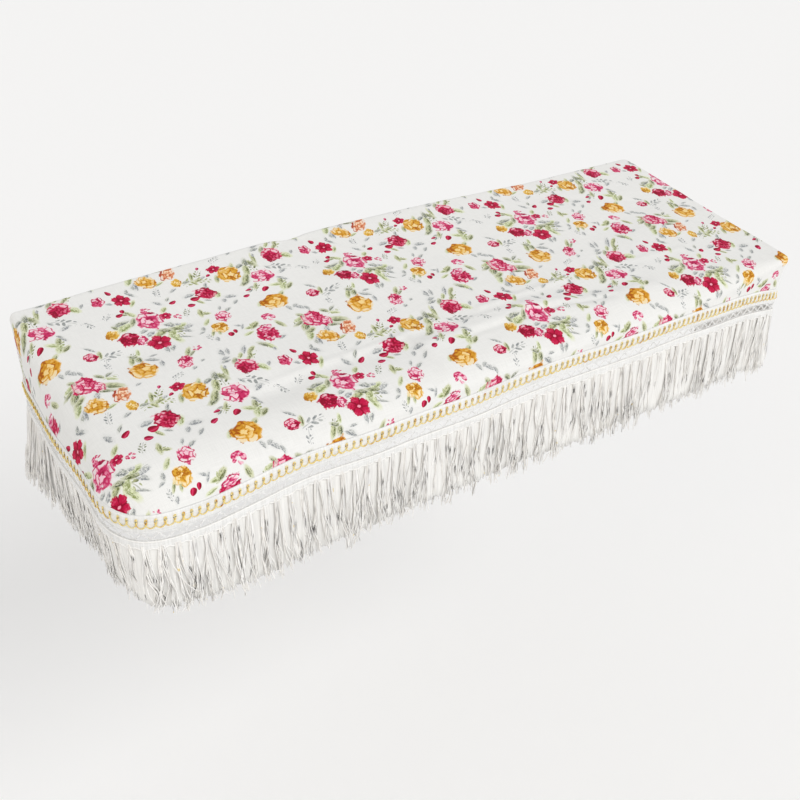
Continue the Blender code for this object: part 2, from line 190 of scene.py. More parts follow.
def readRound(rows, column, place):
    # one column of an edge table at a distance round the edge, on a curve through its rows
    count = len(rows)
    index = max(spot for spot in range(count) if rows[spot][0] <= place)
    around = [rows[(index + shift) % count] for shift in (-1, 0, 1, 2)]
    before, start, end, after = (row[column] for row in around)
    spanBefore, span, spanAfter = ((far[0] - near[0]) % edgeRound for near, far in zip(around, around[1:]))
    slopeStart = (end - before) * span / (span + spanBefore)
    slopeEnd = (after - start) * span / (span + spanAfter)
    t = (place - rows[index][0]) / span
    bend = 2 * (start - end) + slopeStart + slopeEnd
    turn = 3 * (end - start) - 2 * slopeStart - slopeEnd
    return start + slopeStart * t + turn * t ** 2 + bend * t ** 3


def readAll(rows, column):
    return [readRound(rows, column, edgeLengths[station]) for station in stations]


rollWidth, rollDrop = readAll(rollTable, 1), readAll(rollTable, 2)
hemBraid, hemSwell = readAll(hemTable, 1), readAll(hemTable, 2)
for station in stations:
    turnShare = 2 * math.pi * edgeLengths[station] / edgeRound
    hemSwell[station] += sum(height * math.sin(waves * turnShare + turn) for waves, turn, height in waveRows)
hemPoints = [point + direction * swell for (point, direction), swell in zip(edgePoints, hemSwell)]


def hemOutward(station):
    # outward at a step of the hem, longer at a corner, so that offset edges stay parallel
    here = hemPoints[station]
    before = (here - hemPoints[station - 1]).normalized()
    after = (hemPoints[(station + 1) % rimSteps] - here).normalized()
    first = Vector((before.y, -before.x, 0.0))
    second = Vector((after.y, -after.x, 0.0))
    return (first + second) / (1 + first.dot(second))


hemOuts = [hemOutward(station) for station in stations]
hemLengths, hemRound = lengthsAlong(hemPoints)


def rimPoint(station, offset, height):
    # this far out from the cloth's face at the hem, and this far above the braid's middle
    point = hemPoints[station] + hemOuts[station] * offset
    point.z = hemBraid[station] + height
    return point


def rimAt(distance, offset, height):
    # the same at any distance round the hem
    distance = distance % hemRound
    station = min(bisect.bisect_right(hemLengths, distance) - 1, rimSteps - 1)
    share = (distance - hemLengths[station]) / (hemLengths[station + 1] - hemLengths[station])
    start = rimPoint(station, offset, height)
    return start.lerp(rimPoint((station + 1) % rimSteps, offset, height), share)


def ridges(rows, x, y):
    total = 0.0
    for startX, startY, endX, endY, halfWidth, height in rows:
        runX = endX - startX
        runY = endY - startY
        share = ((x - startX) * runX + (y - startY) * runY) / (runX ** 2 + runY ** 2)
        share = min(max(share, 0.0), 1.0)
        away = math.hypot(x - startX - share * runX, y - startY - share * runY)
        if away < 3 * halfWidth:  # further off there is nothing left of it
            total += height * math.exp(-(away / halfWidth) ** 2)
    return total


def topHeight(x, y):
    total = cover["face"] + y * math.tan(cover["fall"])
    fade = max(0.0, 1 - (2 * x / cover["length"]) ** 4) * max(0.0, 1 - (2 * y / cover["depth"]) ** 4)
    for wavesX, wavesY, turn, height in swellRows:
        angle = 2 * math.pi * (wavesX * x / cover["length"] + wavesY * y / cover["depth"]) + turn
        total += height * fade * math.sin(angle)
    along = max(0.0, 1 - ((x - backRise["middle"]) / backRise["reach"]) ** 2)
    total += backRise["height"] * along * max(0.0, 2 * y / cover["depth"]) ** 2
    return total + ridges(foldRows, x, y)


def softWrinkle(point):
    return sum(height * noise.noise(Vector((point.x * scaleX + shift, point.y * scaleY, point.z * scaleZ)))
               for scaleX, scaleY, scaleZ, shift, height in wrinkleRows)


# The printed cloth: the top's grid, then rings down over the rolled edge, the wall and the hem
cloth = {
    "thick": 0.0007,
    "rollRings": 10,
    "wallRings": 11,
    "hemRings": 2,
    "swellAtRoll": 0.6,
    "swellFromTurn": 22.5,
}
wallBottom = cover["tapeOver"] + cover["gap"]


def clothRing(turnDegrees, wallShare):
    turn = math.radians(turnDegrees)
    begun = max(0.0, turnDegrees - cloth["swellFromTurn"]) / (90.0 - cloth["swellFromTurn"])
    swell = begun * cloth["swellAtRoll"] + (1 - cloth["swellAtRoll"]) * wallShare
    points = []
    for station, (point, direction) in enumerate(edgePoints):
        moved = hemSwell[station] * swell - rollWidth[station] * (1 - math.sin(turn))
        place = point + direction * moved
        height = topHeight(place.x, place.y) - rollDrop[station] * (1 - math.cos(turn))
        place.z = height + (hemBraid[station] + wallBottom - height) * wallShare
        points.append(place)
    return points


def clothRings():
    rings = [clothRing(90.0 * step / cloth["rollRings"], 0.0) for step in range(cloth["rollRings"] + 1)]
    rings += [clothRing(90.0, (step + 1) / cloth["wallRings"]) for step in range(cloth["wallRings"])]
    for step in range(cloth["hemRings"]):
        height = wallBottom + (-cover["hemUnder"] - wallBottom) * (step + 1) / cloth["hemRings"]
        rings.append([rimPoint(station, 0.0, height) for station in stations])
    return rings


def evenPoint(corners, column, row):
    near = corners[0].lerp(corners[1], column / topColumns)
    far = corners[3].lerp(corners[2], column / topColumns)
    return near.lerp(far, row / topRows)


def sideStations(column, row):
    # the steps of the edge straight across from a place of the grid: front, right, back, left
    return (column, sideStart["right"] + row, sideStart["back"] + topColumns - column,
            (sideStart["left"] + topRows - row) % rimSteps)


def topPoint(ring, corners, column, row):
    # the edge pulls at the grid from each side
    place = evenPoint(corners, column, row)
    shareX, shareY = column / topColumns, row / topRows
    pulls = zip(sideStations(column, row), ((column, 0), (topColumns, row), (column, topRows), (0, row)),
                (1 - shareY, shareX, shareY, 1 - shareX))
    for station, edgeSpot, closeness in pulls:
        if closeness > cover["edgeReach"]:
            place += (ring[station] - evenPoint(corners, *edgeSpot)) * closeness ** cover["edgePull"]
    return place


def stationOf(column, row):
    front, right, back, left = sideStations(column, row)
    if row == 0:
        return front
    if column == topColumns:
        return right
    return back if row == topRows else left


def unrolledDirection(station, side):
    # which way the print runs on down a wall: eased round the front left corner, folded at the others
    if min(station, rimSteps - station) <= cover["cornerSteps"] // 2:
        return edgePoints[station][1]
    return outward(90.0 * side - 90.0)


def makeCloth():
    bm = bmesh.new()
    rings = clothRings()
    corners = [rings[0][sideStart[name]] for name in sideNames]
    bmesh.ops.create_grid(bm, x_segments=topColumns, y_segments=topRows, size=1.0)
    stationLayer = bm.verts.layers.int.new("station")
    ringLayer = bm.verts.layers.int.new("ring")
    edges = [edge for edge in bm.edges if edge.is_boundary]
    for vert in bm.verts:
        column = round((vert.co.x + 1) / 2 * topColumns)
        row = round((vert.co.y + 1) / 2 * topRows)
        place = topPoint(rings[0], corners, column, row)
        if not vert.is_boundary:
            place.z = topHeight(place.x, place.y)
        vert[stationLayer] = stationOf(column, row)
        vert.co = place
    for index, ring in enumerate(rings[1:]):
        made = bmesh.ops.extrude_edge_only(bm, edges=edges)["geom"]
        edges = [item for item in made if isinstance(item, bmesh.types.BMEdge) and item.is_boundary]
        for item in made:
            if isinstance(item, bmesh.types.BMVert):
                item.co = ring[item[stationLayer]]
                item[ringLayer] = index + 1
    bmesh.ops.recalc_face_normals(bm, faces=bm.faces[:])

    # the print's own map, in metres of flat cloth
    reach = [[0.0] * rimSteps]
    for before, after in zip(rings, rings[1:]):
        reach.append([reach[-1][s] + (after[s] - before[s]).length for s in stations])
    clothMap = bm.loops.layers.uv.new("clothMap")
    slope = math.cos(cover["fall"])
    for face in bm.faces:
        onWall = any(vert[ringLayer] for vert in face.verts)
        around = [vert[stationLayer] for vert in face.verts]
        low = rimSteps - 1 if 0 in around and rimSteps - 1 in around else min(around)
        side = max(index for index, name in enumerate(sideNames) if sideStart[name] <= low)
        for loop in face.loops:
            start, away = loop.vert.co, Vector()
            if onWall:
                station = loop.vert[stationLayer]
                start = rings[0][station]
                away = unrolledDirection(station, side) * reach[loop.vert[ringLayer]][station]
            loop[clothMap].uv = (start.x + away.x, start.y / slope + away.y)

    # creases and faint wrinkles, along the face's own direction
    bm.normal_update()
    hidden = len(rings) - cloth["hemRings"] - 2
    shifts = []
    for vert in bm.verts:
        lift = ridges(creaseRows, vert.co.x, vert.co.y) if vert[ringLayer] == 0 else 0.0
        if vert[ringLayer] < hidden:
            lift += softWrinkle(vert.co)
        shifts.append(vert.normal * lift)
    for vert, shift in zip(bm.verts, shifts):
        vert.co += shift
    return bm


def addObject(name, data):
    piece = bpy.data.objects.new(name, data)
    bpy.context.scene.collection.objects.link(piece)
    return piece


def addMesh(bm, name):
    mesh = bpy.data.meshes.new(name)
    bm.to_mesh(mesh)
    bm.free()
    mesh.shade_smooth()
    return addObject(name, mesh)


def wearMaterials(piece, *paints):
    for paint in paints:
        piece.data.materials.append(paint)


# The print, charted in millimetres of flat cloth. One repeat, which then steps along by
# "along", and down by "down" with half a step sideways.
# Kind, then for each motif: x, y, half length, half width, turn in degrees, tint.
# Bloom tints: 0.1 crimson, 0.3 crimson and pink, 0.5 pink, 0.7 orange, 0.9 yellow.
# Leaf tints: 0.1 grey, 0.4 dark green, 0.6 olive, 0.9 light green.
repeat = {"along": 0.2922, "down": 0.2073}
chart = (
    # dark rose with its leaves
    ("rose", (-455.8, 156.3, 17.1, 15, 80, 0.24)),
    ("leaf", (-463, 171, 6.3, 3.1, 60, 0.4), (-438.8, 146.5, 7.6, 4.5, -60, 0.92),
     (-482.5, 158, 10.1, 2.8, 80, 0.65), (-445, 170.5, 5.7, 2.2, 50, 0.55),
     (-472.5, 175.5, 6.9, 3.5, 10, 0.15)),
    # pink rose with its leaves
    ("rose", (-490, 118.5, 17.3, 16.7, -30, 0.41)),
    ("leaf", (-497.5, 154.5, 8.9, 4.1, 70, 0.28), (-490.5, 150, 8.9, 3.5, -60, 0.46),
     (-503, 140, 11.3, 3.8, 75, 0.6), (-507.5, 151, 8.2, 3.7, 20, 0.2), (-478.6, 92, 7.6, 3.3, 70, 0.5),
     (-486, 87, 8.9, 3.5, -30, 0.92), (-473.8, 102, 5, 2.5, -45, 0.15), (-471.5, 94.5, 5.7, 2.5, -60, 0.12),
     (-482.5, 78.5, 8.2, 3.7, 70, 0.88), (-476, 75, 6.9, 3.1, 40, 0.55)),
    # two small roses side by side
    ("rose", (-409.4, 148.1, 11.8, 9, 85, 0.34)),
    ("open", (-382.3, 140.2, 13.1, 12.6, 80, 0.12)),
    ("bud", (-392.5, 160, 5.5, 3.4, -70, 0.14)),
    ("leaf", (-366.5, 151.5, 8.2, 3.5, -50, 0.12), (-368.5, 158.8, 5.7, 2.5, 70, 0.15),
     (-372.5, 130, 7.6, 2.5, 55, 0.8), (-398.8, 138, 5, 2.5, -30, 0.1), (-356.3, 166.5, 6.3, 3.1, 70, 0.2)),
    # two buds
    ("bud", (-397.2, 110.5, 5.2, 3.8, 200, 0.12), (-391.2, 116.8, 4.2, 3.4, 80, 0.14)),
    ("leaf", (-387, 111.5, 5.7, 2, -50, 0.55), (-384, 106.5, 6.9, 3.1, -60, 0.92),
     (-392, 109.5, 5, 1.8, -20, 0.5)),
    # one bud
    ("bud", (-327.5, 111.8, 5.9, 4, 215, 0.16)),
    ("leaf", (-330, 122.8, 5.7, 2.5, 55, 0.2), (-344.2, 119, 8.2, 3.5, -65, 0.1)),
    # crimson rose with two buds
    ("rose", (-281.8, 113.6, 16.1, 15.2, -20, 0.15)),
    ("bud", (-299.8, 105.4, 6.7, 5.7, 190, 0.13), (-310, 94.2, 5.2, 4, 170, 0.28)),
    ("leaf", (-303, 116.5, 8.3, 4, 10, 0.1), (-269.2, 105, 7.6, 3.5, 60, 0.92),
     (-287, 96.5, 5, 2.2, -30, 0.15), (-297.5, 96.5, 5.7, 2.2, -60, 0.6), (-256.8, 95.3, 8.3, 4.8, -10, 0.1),
     (-268.8, 88.1, 5.7, 3.3, 60, 0.1)),
    # spray and golden flower
    ("open", (-247.5, 159, 9.7, 8, 10, 0.14)),
    ("bud", (-259.5, 150, 3.6, 2.5, 30, 0.24), (-266, 168, 3.2, 2.3, 60, 0.45)),
    ("rose", (-235, 142, 18, 16.4, 85, 0.8)),
    ("leaf", (-226.5, 151, 9.4, 2.8, 65, 0.6), (-252.5, 138.5, 6.9, 2.8, 70, 0.55),
     (-221, 122, 12.6, 4.1, 55, 0.56), (-225, 115.5, 7.6, 3.7, 30, 0.42), (-291.9, 147.5, 5.7, 2.8, 10, 0.2),
     (-280.6, 155.5, 6.9, 2.5, 75, 0.55), (-275, 145.6, 6.9, 2.5, 20, 0.6), (-282.5, 141.3, 5, 2, -60, 0.6),
     (-272.5, 132, 6.9, 2.5, 60, 0.15), (-267.5, 148.8, 4.5, 2.2, 20, 0.12)),
    # bouquet
    ("rose", (-369.4, 86.6, 18.9, 17.3, 100, 0.42), (-404.6, 60, 14.4, 14, 10, 0.16),
     (-393, 53.4, 9.7, 8.2, 60, 0.4)),
    ("open", (-375.8, 41.6, 15, 14.6, 20, 0.13)),
    ("rose", (-419.6, 76.4, 11, 8.6, 60, 0.92)),
    ("open", (-348, 87.6, 8.2, 7.2, 0, 0.22)),
    ("spray", (-335, 81.4, 5.2, 6.3, 60, 0.36), (-365, 108.5, 7.4, 6.3, 30, 0.4)),
    ("leaf", (-378.8, 61.3, 7.6, 3.8, 30, 0.1), (-367.5, 57.5, 9.4, 3.7, 20, 0.62),
     (-360.6, 61.5, 8.9, 3.3, -20, 0.38), (-354.5, 52.5, 8.9, 4, 50, 0.84), (-354.2, 42.5, 12, 4.1, -78, 0.92),
     (-350.6, 69.4, 7.6, 4.5, -30, 0.18), (-340.5, 65.5, 6.3, 3.3, -40, 0.12),
     (-345, 58.8, 9.4, 3.3, -25, 0.45), (-332.5, 57, 7.6, 3.5, 15, 0.1), (-336.5, 50, 6.9, 3.3, -40, 0.12),
     (-344, 38.8, 8.9, 1.8, -30, 0.15), (-373.8, 24, 6.9, 3.1, 80, 0.1), (-366.9, 23.5, 6.3, 3.3, 60, 0.14),
     (-402.5, 93.5, 11.3, 4, 12, 0.26), (-388.6, 90.5, 8.2, 3.1, 60, 0.44), (-402, 84.5, 10.7, 5.7, 30, 0.94),
     (-411.5, 88.5, 5, 2.8, -60, 0.42)),
    # small rose with a grey sprig
    ("rose", (-457.4, 46.4, 9.4, 9, 130, 0.24)),
    ("leaf", (-453.5, 61, 8.2, 2.2, -50, 0.12), (-447, 47, 6.3, 2.5, 80, 0.55)),
    ("sprig", (-436, 41, 15.4, 8.3, 10, 0.12), (-446, 27, 10.7, 5.4, 80, 0.1)),
    # wide golden flower
    ("rose", (-414, -2.2, 19.6, 17.1, -40, 0.76)),
    ("leaf", (-418.8, 21.5, 6.9, 3.1, 70, 0.62), (-410.6, 20.5, 5, 3.5, 80, 0.42),
     (-414.4, 28.5, 5.7, 2.5, -30, 0.35), (-406.5, 33.5, 5.7, 2.2, 75, 0.9),
     (-397.5, 13.8, 9.4, 3.5, -30, 0.12), (-391, 0.5, 6.9, 3.3, 80, 0.1), (-393, 21, 5.7, 2, 0, 0.12)),
    # golden flower on its own
    ("rose", (-214.8, 56.4, 19.3, 16, -10, 0.74)),
    ("leaf", (-231, 61.5, 6.3, 3.3, 40, 0.72), (-203, 64, 7.6, 3.1, 40, 0.6)),
    # small rose over a small golden flower, with two buds
    ("rose", (-286.4, 56.4, 11.5, 10.7, 70, 0.38), (-300.2, 36.2, 12.5, 11.8, 80, 0.84)),
    ("bud", (-294.6, 16.6, 5, 4.4, 70, 0.13), (-287.2, 20.4, 4.4, 3, 80, 0.1)),
    ("leaf", (-307.5, 75, 6.9, 2.8, 80, 0.6), (-302, 71, 5, 2, -20, 0.62), (-282.5, 74, 5, 2.2, 60, 0.12),
     (-275, 67, 6.3, 2.8, 30, 0.15), (-309.4, 54, 6.9, 2.5, 50, 0.82), (-319.4, 42.5, 5, 3.1, 75, 0.14),
     (-323.8, 36, 5, 2, 20, 0.12), (-312.5, 29, 6.3, 1.8, 60, 0.6), (-305, 27, 5, 2, 75, 0.6),
     (-313.8, 14.4, 5, 2.8, 70, 0.1), (-278.8, 30, 5.7, 2, -30, 0.1), (-275.5, 26, 6.3, 2, 60, 0.1)),
    ("sprig", (-320, 22, 8.3, 4.8, 100, 0.12)),
    # half open rose
    ("rose", (-366.5, -10.6, 13.5, 10.5, 62, 0.34)),
    ("leaf", (-356, 6.5, 8.2, 2.8, 60, 0.6), (-353, 1.5, 6.3, 2, 40, 0.4)),
    ("spray", (-343.4, 8.8, 7.4, 6.3, 20, 0.4)),
    ("leaf", (-362.5, -26, 3.7, 2.8, 30, 0.12)),
    # round crimson and pink rose
    ("rose", (-254.8, -1.6, 17.6, 15.7, 85, 0.28), (-253, 10.4, 12.8, 8.6, 20, 0.45)),
    ("leaf", (-261.3, 22.5, 7.6, 3.7, 40, 0.55), (-268.5, 20, 5.7, 2.5, 0, 0.82),
     (-275, 9, 6.3, 2.5, 20, 0.88), (-230.6, 12, 7.6, 3.1, -70, 0.58), (-270, -19.5, 7.6, 3.7, -50, 0.35),
     (-264, -26, 8.2, 3.1, -70, 0.9), (-263, -32.5, 5, 2.5, 80, 0.12), (-242.5, -14, 6.3, 3.3, 20, 0.1)),
    ("spray", (-238.2, 31, 9.5, 8.8, 0, 0.42)),
    # pink rose with orange ones below it
    ("rose", (-483, 2.6, 16.7, 15, -50, 0.32), (-470.4, -8.4, 10.1, 9.7, 70, 0.36),
     (-483.6, -37, 16, 13, -62, 0.76), (-452.4, -33, 14.7, 11, 68, 0.62), (-450.4, -56, 9.8, 7.8, 70, 0.92)),
    ("leaf", (-497.5, 10, 7.6, 2.8, 20, 0.88), (-500.5, 2.5, 9.4, 2.8, 20, 0.42),
     (-497.5, -6, 9.4, 4.9, 60, 0.46), (-497.5, -17.5, 8.2, 3.8, 30, 0.54),
     (-491.5, 13.5, 6.9, 2.8, -50, 0.45), (-462.5, 9, 5.7, 2.8, -40, 0.4), (-452, 8.5, 6.3, 2.5, 30, 0.25),
     (-451.5, -0.5, 6.3, 2.2, -30, 0.85), (-455, -13.3, 11.3, 4.5, -30, 0.52),
     (-465, -18.8, 8.2, 3.1, -20, 0.38), (-477.5, -23, 7.6, 4, 70, 0.1), (-499.5, -40, 9.4, 4.8, 80, 0.1),
     (-470.5, -47, 6.3, 2.2, 20, 0.8), (-485.8, 29.5, 6.9, 3.3, -45, 0.1)),
    # three buds on fine stalks
    ("bud", (-238, 86.4, 5.2, 3.6, 200, 0.26), (-229.6, 98.6, 4.4, 2.5, 10, 0.3),
     (-211, 88, 6.5, 4.8, 50, 0.13)),
    ("leaf", (-228.1, 95.6, 4.6, 2.5, 40, 0.2), (-217.5, 102.5, 6.3, 2.2, 60, 0.55),
     (-224.5, 102.5, 5, 1.8, 20, 0.2)),
    # sprigs and loose grey leaves between the flowers
    ("sprig", (-335, 144, 10.2, 5.9, 75, 0.12), (-458.5, 128, 15.4, 9.5, -35, 0.14),
     (-436.5, 108, 9.5, 5.9, -60, 0.12), (-411.5, 114.5, 8.3, 5.9, 40, 0.12)),
    ("leaf", (-473.8, 132.5, 5.7, 2.5, -60, 0.12), (-461.9, 116.5, 7.6, 3.7, 30, 0.1),
     (-323.1, -13.8, 7.6, 3.7, 85, 0.08), (-315.6, -13.8, 6.9, 3.1, 75, 0.1),
     (-323.8, -25.6, 6.3, 3.5, 10, 0.08), (-297, -19, 9.4, 3.5, 60, 0.1), (-288.8, -22.5, 6.9, 2.8, 40, 0.6),
     (-294.5, -31, 6.9, 2.5, 75, 0.55), (-305.5, -28, 6.3, 2.5, 50, 0.75), (-258, 79, 6.3, 2.8, 45, 0.12),
     (-430, -24, 4.5, 2.2, 20, 0.1)),
    ("sprig", (-431, -60, 15.4, 9.5, 15, 0.84), (-419, -52, 10.7, 7.1, 60, 0.62),
     (-385, -30, 8.3, 5.9, 20, 0.12), (-322, 84, 8.3, 5.9, 65, 0.3)),
    # leaves added between the others, light green with dark strokes
    ("sprig", (-480.5, 84, 11.9, 8.3, 70, 0.84), (-494, 146, 13.1, 9.5, 80, 0.42),
     (-404.5, 80.5, 9.5, 5.9, 10, 0.88), (-350.5, 54, 14.3, 9.5, -60, 0.52), (-335.5, 60, 9.5, 5.9, 20, 0.24),
     (-415, -65, 10.7, 7.1, -20, 0.8), (-452.5, 4, 9.5, 7.1, 10, 0.84), (-500, 6, 10.7, 7.1, 30, 0.62),
     (-284, 145, 14.3, 8.3, 15, 0.78), (-290, -28, 11.9, 5.9, 55, 0.8), (-262.5, 23, 9.5, 5.9, 30, 0.82),
     (-305.5, 73.5, 8.3, 5.4, -20, 0.76), (-414, 27, 9.5, 7.1, 80, 0.66), (-219, 99, 9.5, 5.9, 40, 0.7),
     (-266, -23, 8.3, 5.9, -60, 0.72), (-462, 163, 10.7, 7.1, 40, 0.2)),
    ("leaf", (-502.5, -27, 8.9, 4.1, 60, 0.86), (-498, 35.5, 5.7, 2.8, -70, 0.12),
     (-490, 35.2, 4.5, 2.8, 20, 0.12), (-479, 23.5, 5.7, 2.5, -70, 0.12), (-348.3, -16.7, 3.5, 2.2, 30, 0.14),
     (-334, -43.3, 5, 2.5, 70, 0.12), (-274, 126.7, 4.5, 2.2, 10, 0.1), (-339.5, 63, 6.9, 3.7, 10, 0.86),
     (-315, 139, 6.3, 3.1, 30, 0.12), (-430, 150, 5, 2.5, 60, 0.12), (-345, 100, 6.3, 3.1, 50, 0.8),
     (-384, 68.5, 6.3, 3.3, 20, 0.14)),
)


# Where the real cloth was pulled or folded a little, its print lies off the even repeat: a place on
# the flat cloth and how far along the print it shows, in millimetres
slipRows = (
    (-457, 154, 1, 2), (-410, 148, 0, 0), (-340, 160, 5, 11), (-255, 150, 7, 9), (-238, 134, 4, 8),
    (-170, 147, 7, 9), (-118, 147, 1, 1), (-95, 138, 5, 2), (-57, 153, 12, 16), (7, 109, 4, 4), (49, 133, 8, 9),
    (118, 151, 11, 5), (92, 119, 2, 0), (183, 142, 5, 2), (240, 163, 7, 4), (307, 117, -3, -2),
    (349, 143, 0, -1), (417, 158, 5, -1), (387, 121, -1, -3), (488, 144, 6, -3), (-108, 70, -11, -9),
    (-77, 88, 0, -1), (219, 87, -3, 3), (211, 38, -3, 4), (129, 47, -3, 0), (424, 50, -5, -2), (-10, 33, 2, 4),
    (216, -17, 2, 7), (36, -2, 2, 2), (335, 6, -7, -5), (402, 0, -6, 0), (170, -7, 0, 6), (463, -4, 0, 3),
    (100, -42, 3, 6), (126, -41, 6, 9), (389, -41, 3, 4), (417, -37, 7, 4), (-20, -54, 2, 4), (267, -58, 8, 8),
    (325, -55, -4, -4), (342, -65, 4, 0), (186, -66, 11, 11), (157, -94, 0, 0), (440, -101, 10, 9),
    (490, -70, 3, 5), (39, -139, -5, -6), (22, -126, -4, -5), (69, -123, -1, 3), (359, -123, 2, 3),
    (347, -167, 8, 3), (-16, -154, -3, -6), (153, -154, -1, 4), (438, -154, 6, 5), (414, -179, 16, 9),
    (-341, -84, -3, -5), (490, -175, 14, 24), (462, -205, 12, 18), (-131, -90, -4, -4), (-225, -128, 2, 7),
    (-520, -126, 4, 5), (-255, -146, -4, -1), (-161, 52, -4, -6), (-120, 2, -1, -5), (-446, -178, 0, 6),
    (-432, -153, 0, 2), (-480, 0, 0, 0), (-370, 60, 0, 0), (-255, 0, 0, 0), (-400, -60, 0, 0), (-300, 50, 0, 0),
    (76, 56, 2, 2), (369, 58, 0, 0),
)
slip = {"reach": 0.030, "rest": 0.10}
printing = {
    "kinds": ("sprig", "leaf", "spray", "open", "rose", "bud"),  # from the lowest to the uppermost
    "clear": 0.0045,  # between two motifs of a layer
    "crowding": 0.9,
    "margin": 0.0040,  # cloth round a motif that belongs to it
    "reach": 1.42,
    "outside": 9.0,  # a place far from any motif
}


def slipped(corners):
    weight = np.full(len(corners), slip["rest"])
    moved = np.zeros_like(corners)
    for x, y, alongX, alongY in slipRows:
        away = corners - np.array((x, y)) / 1000
        near = np.exp(-(away ** 2).sum(axis=1) / slip["reach"] ** 2)
        weight += near
        moved += near[:, None] * np.array((alongX, alongY)) / 1000
    return corners + moved / weight[:, None]


def latticeOffset(away):
    # an offset between two places of the cloth, taken to the nearest repeat
    rows = np.round(away[..., 1] / repeat["down"])
    x = away[..., 0] + rows * repeat["along"] / 2
    y = away[..., 1] - rows * repeat["down"]
    return np.stack([x - np.round(x / repeat["along"]) * repeat["along"], y], axis=-1)


def readChart():
    motifs = []
    for kind, *rows in chart:
        for x, y, halfLength, halfWidth, turn, tint in rows:
            motifs.append({
                "kind": kind,
                "code": len(motifs) + tint,
                "centre": np.array((x, y)) / 1000,
                "size": np.array((halfLength, halfWidth)) / 1000,
                "turn": math.radians(turn),
            })
    return motifs


def isClear(motif, other):
    room = (motif["size"].max() + other["size"].max()) * printing["crowding"] + printing["clear"]
    return np.hypot(*latticeOffset(motif["centre"] - other["centre"])) > room


def printLayers():
    # motifs of one kind that come near each other go in different layers
    motifs = readChart()
    layers = []
    for kind in printing["kinds"]:
        own = []
        for motif in motifs:
            if motif["kind"] == kind:
                free = [layer for layer in own if all(isClear(motif, other) for other in layer)]
                if free:
                    free[0].append(motif)
                else:
                    own.append([motif])
        layers.extend(own)
    return layers


def placePrint(mesh, layers):
    # each face takes the motif that it lies in, and each of its corners the place in that motif
    corners = np.empty(len(mesh.loops) * 2, np.float32)
    mesh.uv_layers["clothMap"].data.foreach_get("uv", corners)
    corners = slipped(corners.reshape(-1, 2).astype(float))
    starts = np.empty(len(mesh.polygons), np.int32)
    totals = np.empty(len(mesh.polygons), np.int32)
    mesh.polygons.foreach_get("loop_start", starts)
    mesh.polygons.foreach_get("loop_total", totals)
    centres = np.add.reduceat(corners, starts) / totals[:, None]
    faceOfCorner = np.repeat(np.arange(len(starts)), totals)
    for number, layer in enumerate(layers):
        best = np.full(len(starts), printing["reach"])
        centre = np.zeros((len(starts), 2))
        frames = np.zeros((len(starts), 2, 2))
        code = np.zeros(len(starts))
        for motif in layer:
            away = latticeOffset(centres - motif["centre"])
            cos, sin = math.cos(motif["turn"]), math.sin(motif["turn"])
            axes = np.array(((cos, sin), (-sin, cos)))
            inside = np.abs(away @ axes.T) / (motif["size"] + printing["margin"])
            nearness = np.hypot(inside[:, 0], inside[:, 1])
            closer = nearness < best
            best[closer] = nearness[closer]
            centre[closer] = (centres - away)[closer]
            frames[closer] = axes / motif["size"][:, None]
            code[closer] = motif["code"]
        local = np.einsum("nij,nj->ni", frames[faceOfCorner], corners - centre[faceOfCorner])
        places = np.full((len(corners), 3), printing["outside"])
        inMotif = (best < printing["reach"])[faceOfCorner]
        places[inMotif, :2] = local[inMotif]
        places[inMotif, 2] = code[faceOfCorner][inMotif]
        attribute = mesh.attributes.new(f"motif{number}", "FLOAT_VECTOR", "CORNER")
        attribute.data.foreach_set("vector", places.astype(np.float32).ravel())


# Shader helpers. Each puts its nodes into the tree that is being drawn
drawing = {}


def feed(socket, source):
    if isinstance(source, bpy.types.NodeSocket):
        drawing["tree"].links.new(source, socket)
    else:
        socket.default_value = tone(source) if isinstance(source, str) else source


def newNode(kind, *sources, **settings):
    # the open sockets take the sources in turn
    node = drawing["tree"].nodes.new("ShaderNode" + kind)
    for name, setting in settings.items():
        setattr(node, name, setting)
    for socket, source in zip([socket for socket in node.inputs if socket.enabled], sources):
        feed(socket, source)
    return node


def calc(operation, *sources, clamp=False):
    return newNode("Math", *sources, operation=operation, use_clamp=clamp).outputs[0]


times, plus, minus, timesPlus, divide, largest, absolute, sine, cosine, fraction, whole = (
    functools.partial(calc, operation) for operation in (
        "MULTIPLY", "ADD", "SUBTRACT", "MULTIPLY_ADD", "DIVIDE", "MAXIMUM",
        "ABSOLUTE", "SINE", "COSINE", "FRACT", "FLOOR"))


def calcVector(operation, *sources):
    node = newNode("VectorMath", *sources, operation=operation)
    return next(socket for socket in node.outputs if socket.enabled)


def blend(factor, first, second, kind="RGBA"):
    node = newNode("Mix", factor, first, second, data_type=kind)
    return next(socket for socket in node.outputs if socket.enabled)


def soft(source, low, high, toLow=0.0, toHigh=1.0):
    node = newNode("MapRange", source, low, high, toLow, toHigh, interpolation_type="SMOOTHSTEP")
    return node.outputs["Result"]


def join(x, y, z=0.0):
    return newNode("CombineXYZ", x, y, z).outputs[0]


def split(vector):
    return newNode("SeparateXYZ", vector).outputs[:]


def speckle(vector, scale, detail=2.0, colour=False):
    node = newNode("TexNoise")
    for name, source in (("Vector", vector), ("Scale", scale), ("Detail", detail)):
        feed(node.inputs[name], source)
    return node.outputs["Color" if colour else "Fac"]


def uneven(vector, scale, detail):
    return minus(speckle(vector, scale, detail), 0.5)


def lengthOf(x, y):
    return calc("SQRT", plus(times(x, x), times(y, y)))


def angleOf(x, y):
    return calc("ARCTAN2", y, x)


def tone(code):
    # a colour written as in a paint chart, in the shader's own numbers
    parts = [int(code[index:index + 2], 16) / 255 for index in (0, 2, 4)]
    return (*(part / 12.92 if part < 0.04045 else ((part + 0.055) / 1.055) ** 2.4 for part in parts), 1.0)


